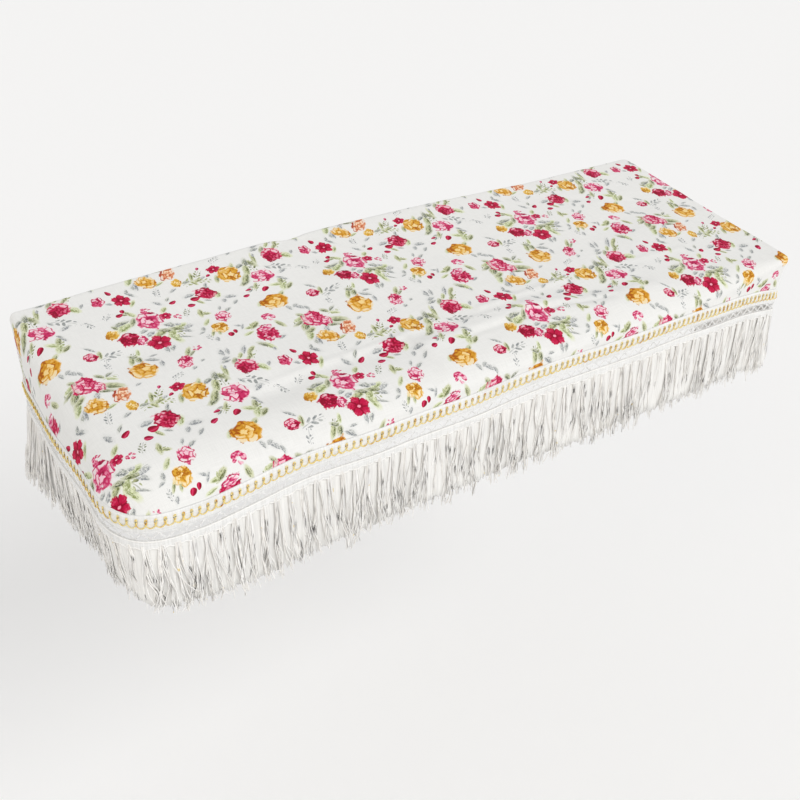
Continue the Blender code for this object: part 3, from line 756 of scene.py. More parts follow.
def rampOf(factor, stops):
    node = newNode("ValToRGB", factor)
    elements = node.color_ramp.elements
    while len(elements) < len(stops):
        elements.new(0.5)
    for element, (place, code) in zip(elements, stops):
        element.position = place
        element.color = tone(code)
    return node.outputs["Color"]


def newGroup(name, inputs, outputs):
    tree = drawing["tree"] = bpy.data.node_groups.new(name, "ShaderNodeTree")
    for direction, sockets in (("INPUT", inputs), ("OUTPUT", outputs)):
        for label, kind in sockets.items():
            tree.interface.new_socket(name=label, in_out=direction, socket_type="NodeSocket" + kind)
    return tree, tree.nodes.new("NodeGroupInput").outputs, tree.nodes.new("NodeGroupOutput").inputs


def useGroup(group, *sources):
    return newNode("Group", *sources, node_tree=group).outputs


# The inks, from dark to pale strokes, by tint
tints = {"bloom": (0.1, 0.3, 0.5, 0.7, 0.9), "leaf": (0.1, 0.4, 0.6, 0.9)}
bloomTones = (
    ("8C0828", "960C34", "A41A4A", "A8520E", "B87A1E"),
    ("BE1040", "C41C50", "CC3A70", "D08E20", "DEAE40"),
    ("D24468", "DC6688", "E48CAA", "E6B254", "ECC87A"),
    ("ECA4B6", "F2BECC", "F6D6E0", "F3D28C", "F7E2AE"),
)
leafTones = (("80858A", "48522E", "626A38", "8C9858"), ("CBCDCB", "B9BD98", "CBCFA2", "DCE2BC"))
bloomSteps = {"starts": (0.04, 0.36, 0.68), "width": 0.26}  # how light a stroke is where each tone begins


def makeInk(name, places, tones, steps=None):
    tree, given, made = newGroup(name, {"Tint": "Float", "Light": "Float"}, {"Colour": "Color"})
    colour, *further = [rampOf(given["Tint"], list(zip(places, codes))) for codes in tones]
    if steps:
        for paler, low in zip(further, steps["starts"]):
            colour = blend(soft(given["Light"], low, low + steps["width"]), colour, paler)
    else:
        colour = blend(given["Light"], colour, further[0])
    feed(made["Colour"], colour)
    return tree


def makeMotif(name, stray, strayScale, draw):
    # the place in the motif is made uneven as a brush would, and the seed's own point serves the noise
    sockets = ({"Place": "Vector"}, {"Light": "Float", "Tint": "Float", "Mask": "Float"})
    tree, given, made = newGroup(name, *sockets)
    x, y, code = split(given["Place"])
    number, tint = whole(code), fraction(code)
    seed = join(x, y, times(number, 0.731))
    shift = calcVector("SUBTRACT", speckle(seed, strayScale, 1.0, True), (0.5, 0.5, 0.5))
    shiftX, shiftY = split(shift)[:2]
    light, mask = draw(timesPlus(shiftX, stray, x), timesPlus(shiftY, stray, y), number, tint, seed)
    for label, source in (("Light", light), ("Tint", tint), ("Mask", mask)):
        feed(made[label], source)
    return tree


def strokeEdge(inside, half=0.05):
    return soft(inside, -half, half)


def petalRings(x, y, number, rings, scallops):
    # rings of petals that overlap: the place through a petal, out from its middle, and its own chance
    radius, angle = lengthOf(x, y), angleOf(x, y)
    wave = absolute(sine(timesPlus(angle, scallops / 2, number)))
    place = timesPlus(radius, rings, times(wave, 0.42))
    ring = whole(place)
    petals = timesPlus(ring, 2.0, 3.0)
    turned = timesPlus(ring, 0.37, times(number, 0.61))
    turns = timesPlus(timesPlus(angle, 1 / (2 * math.pi), 0.5), petals, turned)
    petal = calc("FLOORED_MODULO", whole(turns), petals)
    across = times(absolute(minus(fraction(turns), 0.5)), 2.0)
    chance = newNode("TexWhiteNoise", join(ring, petal, number)).outputs["Value"]
    return radius, fraction(place), across, chance


def drawRose(x, y, number, tint, seed, ragged=0.55, strokes=0.95, sideLight=0.24, heartOff=0.20, rings=3.0):
    # overlapping petals round a heart that lies off the middle, each a stroke of its own tone
    radius = lengthOf(x, y)
    pinkness = soft(absolute(minus(tint, 0.5)), 0.04, 0.30, 1.0, 0.0)
    lobes = sine(timesPlus(angleOf(x, y), 5.0, number))
    edge = timesPlus(uneven(seed, 3.4, 2.0), ragged, timesPlus(lobes, 0.05, 0.90))
    heartX = timesPlus(cosine(number), heartOff, x)
    heartY = timesPlus(sine(number), heartOff, y)
    heartRadius, through, across, chance = petalRings(heartX, heartY, number, rings, 5)
    petal = times(soft(through, 0.0, 0.55, 0.30, 1.0), soft(across, 0.62, 1.0, 1.0, 0.40))
    light = times(petal, timesPlus(chance, 1.10, 0.14))
    lean = times(number, 2.4)
    side = timesPlus(x, cosine(lean), times(y, sine(lean)))
    light = timesPlus(side, sideLight, light)
    light = timesPlus(uneven(seed, 4.6, 1.5), strokes, light)
    light = timesPlus(pinkness, 0.12, light)
    light = plus(light, soft(tint, 0.16, 0.32, -0.16, 0.0))
    paleHeart = soft(fraction(times(number, 0.37)), 0.38, 0.42, -0.2, 0.75)
    heart = times(soft(heartRadius, 0.08, 0.26, 1.0, 0.0), paleHeart)
    light = plus(light, heart, clamp=True)
    # bare cloth between the outer strokes, most of all in the pink ones
    bare = times(soft(radius, 0.45, 0.70), soft(light, 0.62, 0.80))
    bare = times(bare, timesPlus(pinkness, 0.40, 0.30))
    return light, times(strokeEdge(minus(edge, radius)), minus(1.0, bare))


def drawOpenFlower(x, y, number, tint, seed, ragged=0.60, strokes=0.55, petalDepth=0.30):
    # five broad petals that touch, dark where they meet
    radius = lengthOf(x, y)
    petal = absolute(cosine(times(angleOf(x, y), 2.5)))
    edge = timesPlus(calc("POWER", petal, 0.6), petalDepth, 0.68)
    edge = timesPlus(uneven(seed, 3.8, 2.0), ragged, edge)
    light = times(soft(petal, 0.10, 0.60), soft(radius, 0.20, 0.65, 0.10, 0.44))
    stroke = uneven(seed, 5.0, 1.0)
    light = timesPlus(stroke, strokes, light)
    middle = soft(timesPlus(stroke, 0.22, radius), 0.10, 0.20, 0.9, 0.0)
    return plus(light, middle, clamp=True), strokeEdge(minus(edge, radius))


def drawBud(x, y, number, tint, seed, foldAt=0.25):
    across = divide(y, timesPlus(x, 0.28, 0.92))
    fold = soft(absolute(minus(across, foldAt)), 0.05, 0.45, 0.55, 0.24)
    light = times(fold, soft(across, -0.8, 0.4, 0.1, 1.0), clamp=True)
    return light, soft(lengthOf(x, across), 0.90, 0.98, 1.0, 0.0)


def drawSpray(x, y, number, tint, seed, blossoms=5, armLength=0.56):
    # a few small blossoms round a middle
    sector = 2 * math.pi / blossoms
    swing = minus(calc("FLOORED_MODULO", plus(angleOf(x, y), number), sector), sector / 2)
    radius = lengthOf(x, y)
    armX = minus(times(radius, cosine(swing)), armLength)
    armY = times(radius, sine(swing))
    size = timesPlus(speckle(seed, 0.9, 0.0), 0.9, -0.10)
    light = soft(speckle(seed, 3.6, 1.0), 0.35, 0.65, 0.2, 0.85)
    return light, strokeEdge(minus(size, lengthOf(armX, armY)))


def drawLeaf(x, y, number, tint, seed, bend=0.40, raggedWidth=0.90, dryness=0.25, washLight=0.78):
    # one brush stroke with a darker side, a little ragged and dry, in a pale wash
    bow = timesPlus(times(x, x), bend, y)
    ragged = uneven(seed, 2.6, 2.0)
    width = timesPlus(ragged, raggedWidth, minus(0.90, times(x, x)))
    mask = soft(minus(width, absolute(bow)), -0.10, 0.16)
    half = soft(timesPlus(ragged, 0.8, bow), -0.45, 0.20, 0.05, 0.80)
    light = plus(half, soft(speckle(seed, 3.2, 1.5), 0.34, 0.66, -0.50, 0.45), clamp=True)
    mask = times(mask, soft(speckle(seed, 3.9, 1.0), 0.34, 0.48, dryness, 1.0))
    wash = soft(timesPlus(ragged, 0.5, lengthOf(x, y)), 0.90, 1.55, washLight, 0.0)
    wash = times(wash, soft(tint, 0.2, 0.5, 0.35, 1.0))
    return largest(light, minus(1.0, times(mask, 2.0))), largest(mask, wash)


def drawSprig(x, y, number, tint, seed, bend=0.25, slant=-0.45, pairs=2.1, leafletOut=0.42):
    # small leaflets in pairs along a fine stalk
    y = timesPlus(times(x, x), bend, y)
    beside = absolute(y)
    slanted = timesPlus(beside, slant, x)
    cell = timesPlus(slanted, pairs, times(calc("SIGN", y), 0.25))
    along = minus(fraction(cell), 0.5)
    taper = minus(1.05, absolute(x))
    out = divide(minus(beside, leafletOut), largest(taper, 0.05))
    leaflet = soft(lengthOf(times(along, 2.6), times(out, 2.2)), 0.75, 0.95, 1.0, 0.0)
    leaflet = times(leaflet, soft(taper, 0.05, 0.15))
    stalk = times(soft(beside, 0.05, 0.09, 0.8, 0.0), soft(taper, 0.08, 0.12))
    kept = soft(speckle(seed, 1.7, 0.0), 0.40, 0.46)
    light = soft(speckle(seed, 2.5, 1.0), 0.3, 0.7, 0.0, 0.8)
    return light, largest(times(leaflet, kept), times(stalk, 0.6))


def makeWeave(slubLong=0.02, slubFine=0.5):
    # plain weave: threads over and under, with a little slub, on a map in metres
    inputs = {"Place": "Vector", "Threads per metre": "Float"}
    tree, given, made = newGroup("plainWeave", inputs, {"Height": "Float", "Slub": "Float"})
    x, y = split(calcVector("SCALE", given["Place"], given["Threads per metre"]))[:2]
    crossed = times(sine(times(x, math.pi)), sine(times(y, math.pi)))
    warp = speckle(join(times(x, slubLong), times(y, slubFine)), 1.0)
    weft = speckle(join(times(x, slubFine), times(y, slubLong)), 1.0)
    slub = plus(warp, weft)
    feed(made["Height"], timesPlus(crossed, 0.5, slub))
    feed(made["Slub"], slub)
    return tree


def makeNearer():
    # of two places in motifs of one kind, the one that lies nearer its motif's middle
    tree, given, made = newGroup("nearerMotif", {"First": "Vector", "Second": "Vector"}, {"Place": "Vector"})
    first, second = [lengthOf(*split(given[name])[:2]) for name in ("First", "Second")]
    feed(made["Place"], blend(calc("LESS_THAN", second, first), given["First"], given["Second"], "VECTOR"))
    return tree


weave = makeWeave()
nearer = makeNearer()
bloomInk = makeInk("bloomInk", tints["bloom"], bloomTones, bloomSteps)
leafInk = makeInk("leafInk", tints["leaf"], leafTones)
# Kind: its group's name, how far the brush strays, the strays' scale, how it is drawn, its ink
motifRows = {
    "sprig": ("printedSprig", 0.34, 0.8, drawSprig, leafInk),
    "leaf": ("printedLeaf", 0.42, 1.2, drawLeaf, leafInk),
    "spray": ("printedSpray", 0.30, 1.2, drawSpray, bloomInk),
    "open": ("printedOpenFlower", 0.34, 1.9, drawOpenFlower, bloomInk),
    "rose": ("printedRose", 0.40, 1.7, drawRose, bloomInk),
    "bud": ("printedBud", 0.22, 1.4, drawBud, bloomInk),
}
motifGroups = {kind: (makeMotif(*row), ink) for kind, (*row, ink) in motifRows.items()}


def startMaterial(name):
    paint = bpy.data.materials.new(name)
    paint.use_nodes = True
    drawing["tree"] = paint.node_tree
    return paint


def endMaterial(paint, colour, roughness, height=None, bump=(), **more):
    # bump: strength, depth. More: further sockets of the shader by name
    shader = paint.node_tree.nodes["Principled BSDF"]
    for name, source in {"Base Color": colour, "Roughness": roughness, **more}.items():
        feed(shader.inputs[name], source)
    if height:
        node = newNode("Bump")
        for name, source in zip(("Strength", "Distance", "Height"), (*bump, height)):
            feed(node.inputs[name], source)
        feed(shader.inputs["Normal"], node.outputs["Normal"])
    return paint


def readMap():
    return newNode("UVMap", uv_map="clothMap").outputs["UV"]


def readObject():
    return newNode("TexCoord").outputs["Object"]


cottonLook = {
    "ground": "EDEDEB",
    "shaded": "D8D8D6",
    "slub": 0.30,
    "threads": 2400.0,
    "roughness": 0.82,
    "bump": (0.35, 0.0002),
    "backFade": 0.72,  # how far the print fades on the wrong side
}


def yarnAndSlub(threads, share=1.0):
    yarn = useGroup(weave, readMap(), threads)
    return yarn["Height"], soft(yarn["Slub"], 0.75, 1.25, 0.0, share)


def printedColour(layers):
    height, slub = yarnAndSlub(cottonLook["threads"], cottonLook["slub"])
    colour = ground = blend(slub, cottonLook["ground"], cottonLook["shaded"])
    for kind, (shape, ink) in motifGroups.items():
        place = None
        for number, layer in enumerate(layers):
            if layer[0]["kind"] == kind:
                other = newNode("Attribute", attribute_name=f"motif{number}").outputs["Vector"]
                place = useGroup(nearer, place, other)["Place"] if place else other
        motif = useGroup(shape, place)
        colour = blend(motif["Mask"], colour, useGroup(ink, motif["Tint"], motif["Light"])["Colour"])
    return colour, ground, height


def printedCotton(layers):
    paint = startMaterial("printedCotton")
    colour, ground, height = printedColour(layers)
    return endMaterial(paint, colour, cottonLook["roughness"], height, cottonLook["bump"],
                       **{"Sheen Weight": 0.04, "Specular IOR Level": 0.15})


def cottonBack(layers):
    # the wrong side, where the print only shows through
    paint = startMaterial("cottonBack")
    colour, ground, height = printedColour(layers)
    colour = blend(cottonLook["backFade"], colour, ground)
    return endMaterial(paint, colour, cottonLook["roughness"], height, cottonLook["bump"])


def bandCotton(name, ribs):
    paint = startMaterial(name)
    height, slub = yarnAndSlub(ribs)
    colour = blend(slub, "F0F0EF", "E2E2E0")
    return endMaterial(paint, colour, 0.7, height, (0.5, 0.0004), **{"Sheen Weight": 0.1})


def goldThread():
    paint = startMaterial("goldThread")
    place = readObject()
    stops = ((0.30, "C07A28"), (0.40, "ECC868"), (0.52, "F6DF8C"), (0.8, "FDF4C8"))
    colour = rampOf(speckle(place, 260.0), stops)
    return endMaterial(paint, colour, 0.38, speckle(place, 1800.0, 1.0), (0.5, 0.0003), Metallic=0.08)


def softThread(name, pale, shaded, roughness, specks=None):
    paint = startMaterial(name)
    place = readObject()
    x, y, z = split(place)
    streaks = speckle(join(times(x, 420.0), times(y, 420.0), times(z, 14.0)), 1.0)
    colour = blend(soft(streaks, 0.35, 0.7), pale, shaded)
    if specks:
        dots = soft(speckle(place, 150.0, 0.0), 0.83, 0.86, 0.0, 0.8)
        colour = blend(dots, colour, specks)
    return endMaterial(paint, colour, roughness, streaks, (0.2, 0.0002), **{"Sheen Weight": 0.2})


layers = printLayers()
print("print layers", [(layer[0]["kind"], len(layer)) for layer in layers])
printedCloth = addMesh(makeCloth(), "printedCloth")
placePrint(printedCloth.data, layers)
wearMaterials(printedCloth, printedCotton(layers), cottonBack(layers))
clothSolid = printedCloth.modifiers.new("thickness", "SOLIDIFY")
clothSolid.thickness = cloth["thick"]
clothSolid.offset = -1.0
clothSolid.use_even_offset = False
clothSolid.use_quality_normals = True
clothSolid.material_offset = 1
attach(printedCloth, "root")
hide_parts("cover_cloth")
print("cloth made,", len(printedCloth.data.polygons), "faces")


# The tape over the hem
tape = {
    "edge": 0.0003,
    "ribs": 900.0,
    "topLift": 0.0001,  # its top edge lies this close to the cloth
}


def evenly(count):
    # distances round the hem, in even steps
    return [hemRound * index / count for index in range(count)]


def ringBand(name, rows, distances=hemLengths[:-1], pointOf=rimPoint):
    # a closed ring along the hem, through these rows of offset and height in turn
    bm = bmesh.new()
    count = len(distances)
    bmesh.ops.create_circle(bm, segments=count, radius=1.0)
    order = bm.verts.layers.int.new("order")
    rowLayer = bm.verts.layers.int.new("row")
    for index, vert in enumerate(bm.verts):
        vert.co = pointOf(index, *rows[0])
        vert[order] = index
    firstEdges = edges = bm.edges[:]
    for index, row in enumerate(rows[1:]):
        made = bmesh.ops.extrude_edge_only(bm, edges=edges)["geom"]
        fresh = {item for item in made if isinstance(item, bmesh.types.BMVert)}
        for vert in fresh:
            vert.co = pointOf(vert[order], *row)
            vert[rowLayer] = index + 1
        edges = [item for item in made if isinstance(item, bmesh.types.BMEdge)
                 and fresh.issuperset(item.verts)]
    bmesh.ops.bridge_loops(bm, edges=firstEdges + edges)
    bmesh.ops.recalc_face_normals(bm, faces=bm.faces[:])
    bandMap = bm.loops.layers.uv.new("clothMap")
    for face in bm.faces:
        around = [vert[order] for vert in face.verts]
        wraps = 0 in around and count - 1 in around
        for loop in face.loops:
            station = loop.vert[order]
            distance = hemRound if wraps and station == 0 else distances[station]
            loop[bandMap].uv = (distance, rows[loop.vert[rowLayer]][1])
    return addMesh(bm, name)


tapeBack = cover["gap"]
tapeFace = cover["gap"] + cover["tapeThick"]
tapeLow = -cover["tapeUnder"]
tapeHigh = cover["tapeOver"]
hemTape = ringBand("hemTape", (
    (tapeBack, tapeLow),
    (tapeBack + tape["edge"], tapeLow - tape["edge"] / 2),
    (tapeFace - tape["edge"], tapeLow),
    (tapeFace, tapeLow + 2 * tape["edge"]),
    (tapeFace + tape["edge"] / 3, (tapeLow + tapeHigh) / 2),
    (tapeFace, tapeHigh - 10 * tape["edge"]),
    (tapeFace / 2, tapeHigh - 2 * tape["edge"]),
    (tape["topLift"], tapeHigh + tape["edge"]),
))
wearMaterials(hemTape, bandCotton("whiteTape", tape["ribs"]))
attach(hemTape, "root")
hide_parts("trim_tape")
print("tape made")


def triangleSection(name, thick):
    outline = bpy.data.curves.new(name, "CURVE")
    outline.dimensions = "2D"
    outline.splines.new("POLY").points.add(2)
    outline.splines[0].use_cyclic_u = True
    for point, degrees in zip(outline.splines[0].points, (90, 210, 330)):
        point.co = (*outward(degrees) * thick / 2, 1.0)
    return addObject(name, outline)


def threads(name, paths, thick, radii=None):
    # many threads in one piece: closed rings with a square section, or, where their radii are given,
    # open strands with a three-sided one
    curve = bpy.data.curves.new(name, "CURVE")
    curve.dimensions = "3D"
    curve.twist_mode = "Z_UP"
    curve.use_fill_caps = radii is not None
    holders = [addObject(name + "Curve", curve)]
    if radii:
        curve.bevel_mode = "OBJECT"
        holders.append(triangleSection(name + "Section", thick))
        curve.bevel_object = holders[-1]
    else:
        curve.bevel_depth = thick / 2
        curve.bevel_resolution = 0
    for index, points in enumerate(paths):
        spline = curve.splines.new("POLY")
        spline.points.add(len(points) - 1)
        spline.use_cyclic_u = not radii
        spline.points.foreach_set("co", [number for point in points for number in (*point, 1.0)])
        if radii:
            spline.points.foreach_set("radius", radii[index])
    graph = bpy.context.evaluated_depsgraph_get()
    mesh = bpy.data.meshes.new_from_object(holders[0].evaluated_get(graph))
    mesh.name = name
    mesh.shade_smooth()
    for holder in holders:
        bpy.data.objects.remove(holder)
    return addObject(name, mesh)


# The gold gimp: one plied thread in standing loops along the middle of the tape
gimp = {
    "pitch": 0.0095,
    "halfHeight": 0.0056,
    "swing": 0.0029,
    "lean": 0.12,
    "thick": 0.0010,
    "stand": 0.6,  # of the thread's thickness, out from the tape
    "cross": 0.45,  # how far the loops pass over each other
    "plies": (0.0, 0.28),
    "stepsPerLoop": 18,
    "uneven": 0.10,
}


def gimpPath(turn, chance):
    loops = round(hemRound / gimp["pitch"])
    pitch = hemRound / loops
    base = cover["gap"] * 2 + cover["tapeThick"] + gimp["thick"] * gimp["stand"]
    tall = [1 + gimp["uneven"] * chance.uniform(-1, 1) for _ in range(loops)]
    points = []
    for index in range(loops):
        for step in range(gimp["stepsPerLoop"]):
            share = step / gimp["stepsPerLoop"]
            angle = 2 * math.pi * share + turn
            size = tall[index] + (tall[(index + 1) % loops] - tall[index]) * share
            height = -gimp["halfHeight"] * math.cos(angle) * size
            along = (pitch * (index + share) + gimp["swing"] * math.sin(angle) * size
                     + gimp["lean"] * height)
            lift = gimp["thick"] * gimp["cross"] * math.sin(angle)
            points.append(rimAt(along, base + lift, height))
    return points


gimpChance = random.Random(5)
goldGimp = threads("goldGimp", [gimpPath(turn, gimpChance) for turn in gimp["plies"]], gimp["thick"])
wearMaterials(goldGimp, goldThread())
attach(goldGimp, "root")
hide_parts("gold_braid")
print("gold gimp made,", len(goldGimp.data.polygons), "faces")


# The open net: two rails, and a zigzag of doubled thread between them
net = {
    "repeats": 160,
    "thick": 0.0008,
    "rail": 0.0012,
    "stand": 0.0006,
    "spread": 0.0009,
    "sag": 0.0010,
    "uneven": 0.0002,
    "slant": (0.0, 0.33, 0.67),
}
netTop = -cover["tapeUnder"] - cover["hangGap"]
netBottom = netTop - cover["netHeight"]


def netPaths():
    chance = random.Random(8)
    pitch = hemRound / net["repeats"]
    offset = cover["gap"] + net["stand"]
    low, high = netBottom + net["rail"] / 2, netTop - net["rail"] / 2
    paths = [[rimAt(pitch * index / 4, offset, height + chance.uniform(-1, 1) * net["uneven"])
              for index in range(4 * net["repeats"])] for height in (high, low)]
    for shift in (-net["spread"], 0.0, net["spread"]):
        points = []
        for index in range(2 * net["repeats"]):
            start, end = (high, low) if index % 2 else (low, high)
            wobble = chance.uniform(-1, 1) * net["sag"]
            for share in net["slant"]:
                along = pitch * (index + share) / 2 + shift + wobble * math.sin(math.pi * share)
                points.append(rimAt(along, offset, start + (end - start) * share))
        paths.append(points)
    return paths


netBand = threads("netBand", netPaths(), net["thick"])
wearMaterials(netBand, softThread("netThread", "F4F4F3", "E2E2E0", 0.6))
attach(netBand, "root")
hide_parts("net_band")
print("net made,", len(netBand.data.polygons), "faces")


# The fringe: a scalloped heading and bunches of fine strands
fringe = {
    "bunches": 160,
    "spread": 1.02,
    "uneven": 0.055,
    "depth": 0.0018,
    "rootSpread": 0.0050,
    "underHeading": 0.0030,  # how far up under the heading a strand starts
    "wisps": 2,
    "strandsPerWisp": 6,
    "wispRoot": 0.09,
    "wispLength": (-0.09, 0.03),
    "wispDepth": (-0.3, 1.0),
    "wispWidth": 0.0036,
    "wispLean": 0.0040,
    "looseStrands": 3,
    "looseLength": (-0.12, 0.04),
    "looseDepth": (-0.5, 1.2),
    "looseThick": 0.9,
    "looseLean": 2.0,
    "thick": 0.00140,
    "tip": 0.85,
    "strandLength": (-0.07, 0.03),
    "strandDepth": (-0.4, 0.4),
    "stray": 0.08,
    "strayReach": 0.020,
    "stepCurve": 1.15,
    "fan": 2.2,  # how soon the strands spread below the heading
    "gather": 0.35,
    "gatherReach": 1.5,
    "tipSpread": 0.1,
    "wander": 0.0110,
    "wanderScale": 2.4,
    "wanderOut": 0.15,  # share of it that goes out from the cloth
    "curl": 0.0095,
    "curlScale": 4.0,
    "curlCurve": 2.2,
    "curlOut": 0.5,
    "leanCurve": 1.3,
    "swayRows": ((0.625, 5, 0.6), (0.375, 13, 2.0)),  # share, swings round the hem, turn
    "swayLength": 0.032,
    "swayLean": 0.0075,
    "leanUneven": 0.003,
    "flareUneven": 0.003,
    "steps": 8,
    "middle": 0.0009,  # the heading's middle, out from the cloth's face
}
headingTop = netBottom - cover["hangGap"]
headingBottom = headingTop - cover["headingHeight"]
strandTop = headingBottom + fringe["underHeading"]


def swayOf(share):
    # the slow swing of the bunches round the hem
    return sum(part * math.sin(swings * 2 * math.pi * share + turn)
               for part, swings, turn in fringe["swayRows"])


def wander(seed, along, shift=0.0):
    return noise.noise_vector(Vector((seed, along, shift)))


def strandPath(bunch, wisp, across, chance):
    # one strand of a wisp: it starts under the heading, follows the wisp and strays a little from it
    length = bunch["length"] * wisp["length"] * (1 + chance.uniform(*fringe["strandLength"]))
    reach = fringe["strayReach"]
    stray = chance.uniform(-reach, reach) if chance.random() < fringe["stray"] else 0.0
    depth = wisp["depth"] + chance.uniform(*fringe["strandDepth"]) * fringe["depth"]
    seed = chance.uniform(0, 900)
    points = []
    radii = []
    for step in range(fringe["steps"] + 1):
        t = (step / fringe["steps"]) ** fringe["stepCurve"]
        fan = 1 - math.exp(-fringe["fan"] * t)
        drift = wander(wisp["seed"], t * fringe["wanderScale"]) * fringe["wander"] * t
        swirl = wander(seed, t * fringe["curlScale"], 5.0) * fringe["curl"] * t ** fringe["curlCurve"]
        gather = 1 - fringe["gather"] * math.sin(math.pi * min(1.0, fringe["gatherReach"] * t))
        gather += fringe["tipSpread"] * t
        along = bunch["middle"] + wisp["root"] * (fringe["rootSpread"] * (1 - fan) + bunch["spread"] * fan)
        along += across * fringe["wispWidth"] * gather + (wisp["lean"] + stray) * t ** fringe["leanCurve"]
        along += drift.x + swirl.x
        offset = fringe["middle"] + depth * (0.5 + 0.5 * t) + bunch["flare"] * t
        offset += drift.y * fringe["wanderOut"] + swirl.y * fringe["curlOut"]
        points.append(rimAt(along, offset, strandTop - length * t))
        radii.append(wisp["thick"] * (1.0 - (1.0 - fringe["tip"]) * t ** 2))
    return points, radii


def wispStrands(bunch, chance, strands, root, length, depth, thick=1.0, lean=1.0):
    wisp = {
        "root": root,
        "lean": bunch["lean"] + chance.gauss(0, fringe["wispLean"] * lean),
        "length": length,
        "depth": depth * fringe["depth"],
        "thick": thick,
        "seed": chance.uniform(0, 900),
    }
    made = []
    for spot in range(strands):
        across = (spot + chance.random()) / strands - 0.5 if strands > 1 else 0.0
        made.append(strandPath(bunch, wisp, across, chance))
    return made


def bunchStrands(bunch, chance):
    made = []
    for index in range(fringe["wisps"]):
        root = (index + 0.5) / fringe["wisps"] - 0.5 + chance.uniform(-1, 1) * fringe["wispRoot"]
        length = 1 + chance.uniform(*fringe["wispLength"])
        depth = chance.uniform(*fringe["wispDepth"])
        made += wispStrands(bunch, chance, fringe["strandsPerWisp"], root, length, depth)
    for index in range(fringe["looseStrands"]):
        length = 1 + chance.uniform(*fringe["looseLength"])
        depth = chance.uniform(*fringe["looseDepth"])
        root = chance.uniform(-0.5, 0.5)
        made += wispStrands(bunch, chance, 1, root, length, depth,
                            fringe["looseThick"], fringe["looseLean"])
    return made


def bunchRows():
    chance = random.Random(21)
    count = fringe["bunches"]
    pitch = hemRound / count
    rows = []
    for index in range(count):
        sway = swayOf(index / count)
        place = edgeRound * index / count
        longer = 1 + fringe["uneven"] * chance.uniform(-1, 1) + fringe["swayLength"] * sway
        rows.append({
            "middle": (index + 0.5) * pitch,
            "spread": pitch * fringe["spread"],
            "length": readRound(hangTable, 1, place) * longer,
            "lean": fringe["swayLean"] * sway + chance.uniform(-1, 1) * fringe["leanUneven"],
            "flare": readRound(hangTable, 2, place) + chance.uniform(-1, 1) * fringe["flareUneven"],
        })
    return rows


def makeFringe():
    rows = bunchRows()
    chance = random.Random(34)
    pieces = []
    for name in sideNames:
        start = hemLengths[sideStart[name]]
        end = hemLengths[sideStart[name] + sideSteps[name]]
        strands = []
        for bunch in rows:
            if start <= bunch["middle"] < end:
                strands += bunchStrands(bunch, chance)
        paths, radii = zip(*strands)
        pieces.append(threads("fringe" + name.capitalize(), paths, fringe["thick"], radii))
        print("fringe", name, len(paths), "strands,", len(pieces[-1].data.polygons), "faces")
    return pieces


# The inner strands, which lie so close that they make a curtain with fine folds and a ragged end.
# Clumps and the finer grain are its unevenness along the hem
inner = {
    "thick": 0.0004,
    "steps": 12,
    "rows": (0.0, 0.12, 0.3, 0.5, 0.7, 0.88, 1.0),
    "length": 0.90,
    "clumpScale": 0.21,
    "clumpLength": 0.07,
    "clumpFold": 0.0011,
    "clumpLean": 0.004,
    "grainScale": 0.83,
    "grainLength": 0.06,
    "grainFold": 0.0003,
}
innerSpots = evenly(inner["steps"] * fringe["bunches"])


def innerPoint(index, offset, share):
    place = edgeRound * index / len(innerSpots)
    sway = swayOf(index / len(innerSpots))
    grain = noise.noise(Vector((index * inner["grainScale"], 3.0, 0.0)))
    clump = noise.noise(Vector((index * inner["clumpScale"], 7.0, 0.0)))
    length = readRound(hangTable, 1, place)
    length *= (inner["length"] + inner["clumpLength"] * clump + inner["grainLength"] * grain
               + fringe["swayLength"] * sway)
    fold = (inner["grainFold"] * grain + inner["clumpFold"] * clump) * min(1.0, 4 * share)
    along = innerSpots[index] + (fringe["swayLean"] * sway + inner["clumpLean"] * clump) * share
    offset += fringe["middle"] - 0.5 * fringe["depth"] + fold + readRound(hangTable, 2, place) * share
    return rimAt(along, offset, strandTop - length * share)


def makeInner():
    half, shares = inner["thick"] / 2, inner["rows"]
    rows = [(half, share) for share in shares] + [(-half, share) for share in reversed(shares)]
    return ringBand("fringeInner", rows, innerSpots, innerPoint)


# The heading: a ribbed band whose lower edge comes down at each bunch, corded along both edges
heading = {
    "ribs": 1100.0,
    "thick": 0.0016,
    "edge": 0.0003,
    "swell": 0.0002,
    "cord": 0.0012,
    "steps": 8,
    "scallop": 0.0024,
    "scallopCurve": 0.7,
    "uneven": 0.0005,
    "unevenScale": 260.0,
}
headingSpots = evenly(heading["steps"] * fringe["bunches"])


def scallopAt(along):
    wave = abs(math.sin(math.pi * along * fringe["bunches"] / hemRound)) ** heading["scallopCurve"] - 1
    stray = noise.noise(Vector((along * heading["unevenScale"], 2.0, 0.0)))
    return heading["scallop"] * wave + heading["uneven"] * stray


def headingPoint(index, offset, height):
    along = headingSpots[index]
    share = min(1.0, max(0.0, (headingTop - height) / cover["headingHeight"]))
    return rimAt(along, offset, height - (scallopAt(along) + heading["scallop"]) * share)


def makeHeading():
    edge, swell = heading["edge"], heading["swell"]
    back = fringe["middle"] - heading["thick"] / 2
    face = fringe["middle"] + heading["thick"] / 2
    low = headingBottom + edge
    band = ringBand("fringeHeading", (
        (back, low),
        (face - edge, low - swell),
        (face, low + 2 * edge),
        (face + swell, (headingTop + low) / 2),
        (face, headingTop - 2 * edge),
        (face - edge, headingTop),
        (back, headingTop),
    ), headingSpots, headingPoint)
    paths = [[headingPoint(index, face, height) for index in range(len(headingSpots))]
             for height in (headingTop - 3 * edge, low + edge)]
    return band, threads("headingCords", paths, heading["cord"])


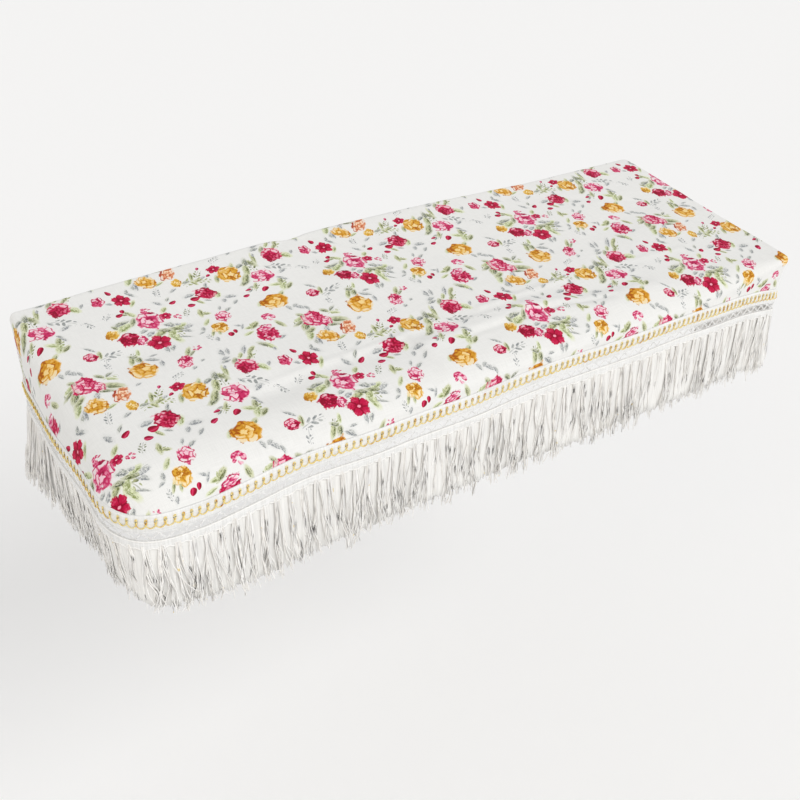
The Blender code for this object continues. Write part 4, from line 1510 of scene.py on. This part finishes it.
fringeSilk = softThread("fringeSilk", "FEFDFB", "F6F3EE", 0.40, "F0D890")
fringeHeading, headingCords = makeHeading()
wearMaterials(fringeHeading, bandCotton("headingBand", heading["ribs"]))
wearMaterials(headingCords, softThread("headingThread", "FEFDFB", "F6F4F0", 0.5))
fringePieces = [*makeFringe(), makeInner()]
# the inner strands take the same silk painted a little darker: painted shade from the strands in front of them
innerSilkPaintedShade = softThread("innerSilkPaintedShade", "EFEEEB", "E2E1DE", 0.5)
for piece in fringePieces:
    wearMaterials(piece, innerSilkPaintedShade if piece.name == "fringeInner" else fringeSilk)
for piece in (fringeHeading, headingCords, *fringePieces):
    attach(piece, "root")
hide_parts("fringe")
print("heading made,", len(fringeHeading.data.polygons), "faces")


# Floor, light and camera
studio = {
    "floorHeight": -0.80,
    "floorSize": 40.0,
    "floorColour": "FCFCFC",
    "world": "FFFFFF",
    "worldStrength": 0.66,
    # name, where it comes from, spread in degrees, strength, colour
    "lights": (
        ("key", (0.35, -0.72, 0.60), 38, 1.16, (1.0, 0.995, 0.985)),
        ("fill", (-0.80, -0.45, 0.35), 60, 0.50, (1.0, 0.91, 0.79)),
    ),
}


def makeFloor():
    bm = bmesh.new()
    bmesh.ops.create_grid(bm, x_segments=1, y_segments=1, size=studio["floorSize"] / 2)
    bmesh.ops.translate(bm, verts=bm.verts[:], vec=(0, 0, studio["floorHeight"]))
    floor = addMesh(bm, "floor")
    wearMaterials(floor, endMaterial(startMaterial("paleFloor"), studio["floorColour"], 0.9))


def addLight(name, comesFrom, spread, strength, colour):
    light = bpy.data.lights.new(name, "SUN")
    light.energy = strength
    light.angle = math.radians(spread)
    light.color = colour
    holder = addObject(name, light)
    holder.rotation_mode = "QUATERNION"
    holder.rotation_quaternion = Vector(comesFrom).to_track_quat("Z", "Y")


def makeStudio():
    makeFloor()
    world = bpy.data.worlds.new("paleRoom")
    world.use_nodes = True
    sky = world.node_tree.nodes["Background"].inputs
    sky["Color"].default_value = tone(studio["world"])
    sky["Strength"].default_value = studio["worldStrength"]
    bpy.context.scene.world = world
    for light in studio["lights"]:
        addLight(*light)
    bpy.context.scene.view_settings.view_transform = "Standard"


# The view of the photograph, in the cover's own frame
view = {
    "place": (-0.7561, -1.0201, 0.6039),
    "right": (0.82795, -0.56077, 0.00530),
    "up": (0.29159, 0.43855, 0.85008),
    "lens": 47.39,
    "sensor": 36.0,
    "clip": (0.05, 60),
}


def makeCamera():
    lens = bpy.data.cameras.new("camera")
    lens.lens = view["lens"]
    lens.sensor_width = view["sensor"]
    lens.clip_start, lens.clip_end = view["clip"]
    camera = addObject("camera", lens)
    right = Vector(view["right"]).normalized()
    up = Vector(view["up"])
    up = (up - right * up.dot(right)).normalized()
    turned = Matrix((right, up, right.cross(up))).transposed()
    camera.matrix_world = Matrix.Translation(view["place"]) @ turned.to_4x4()
    bpy.context.scene.camera = camera


makeStudio()
makeCamera()
print("studio made")
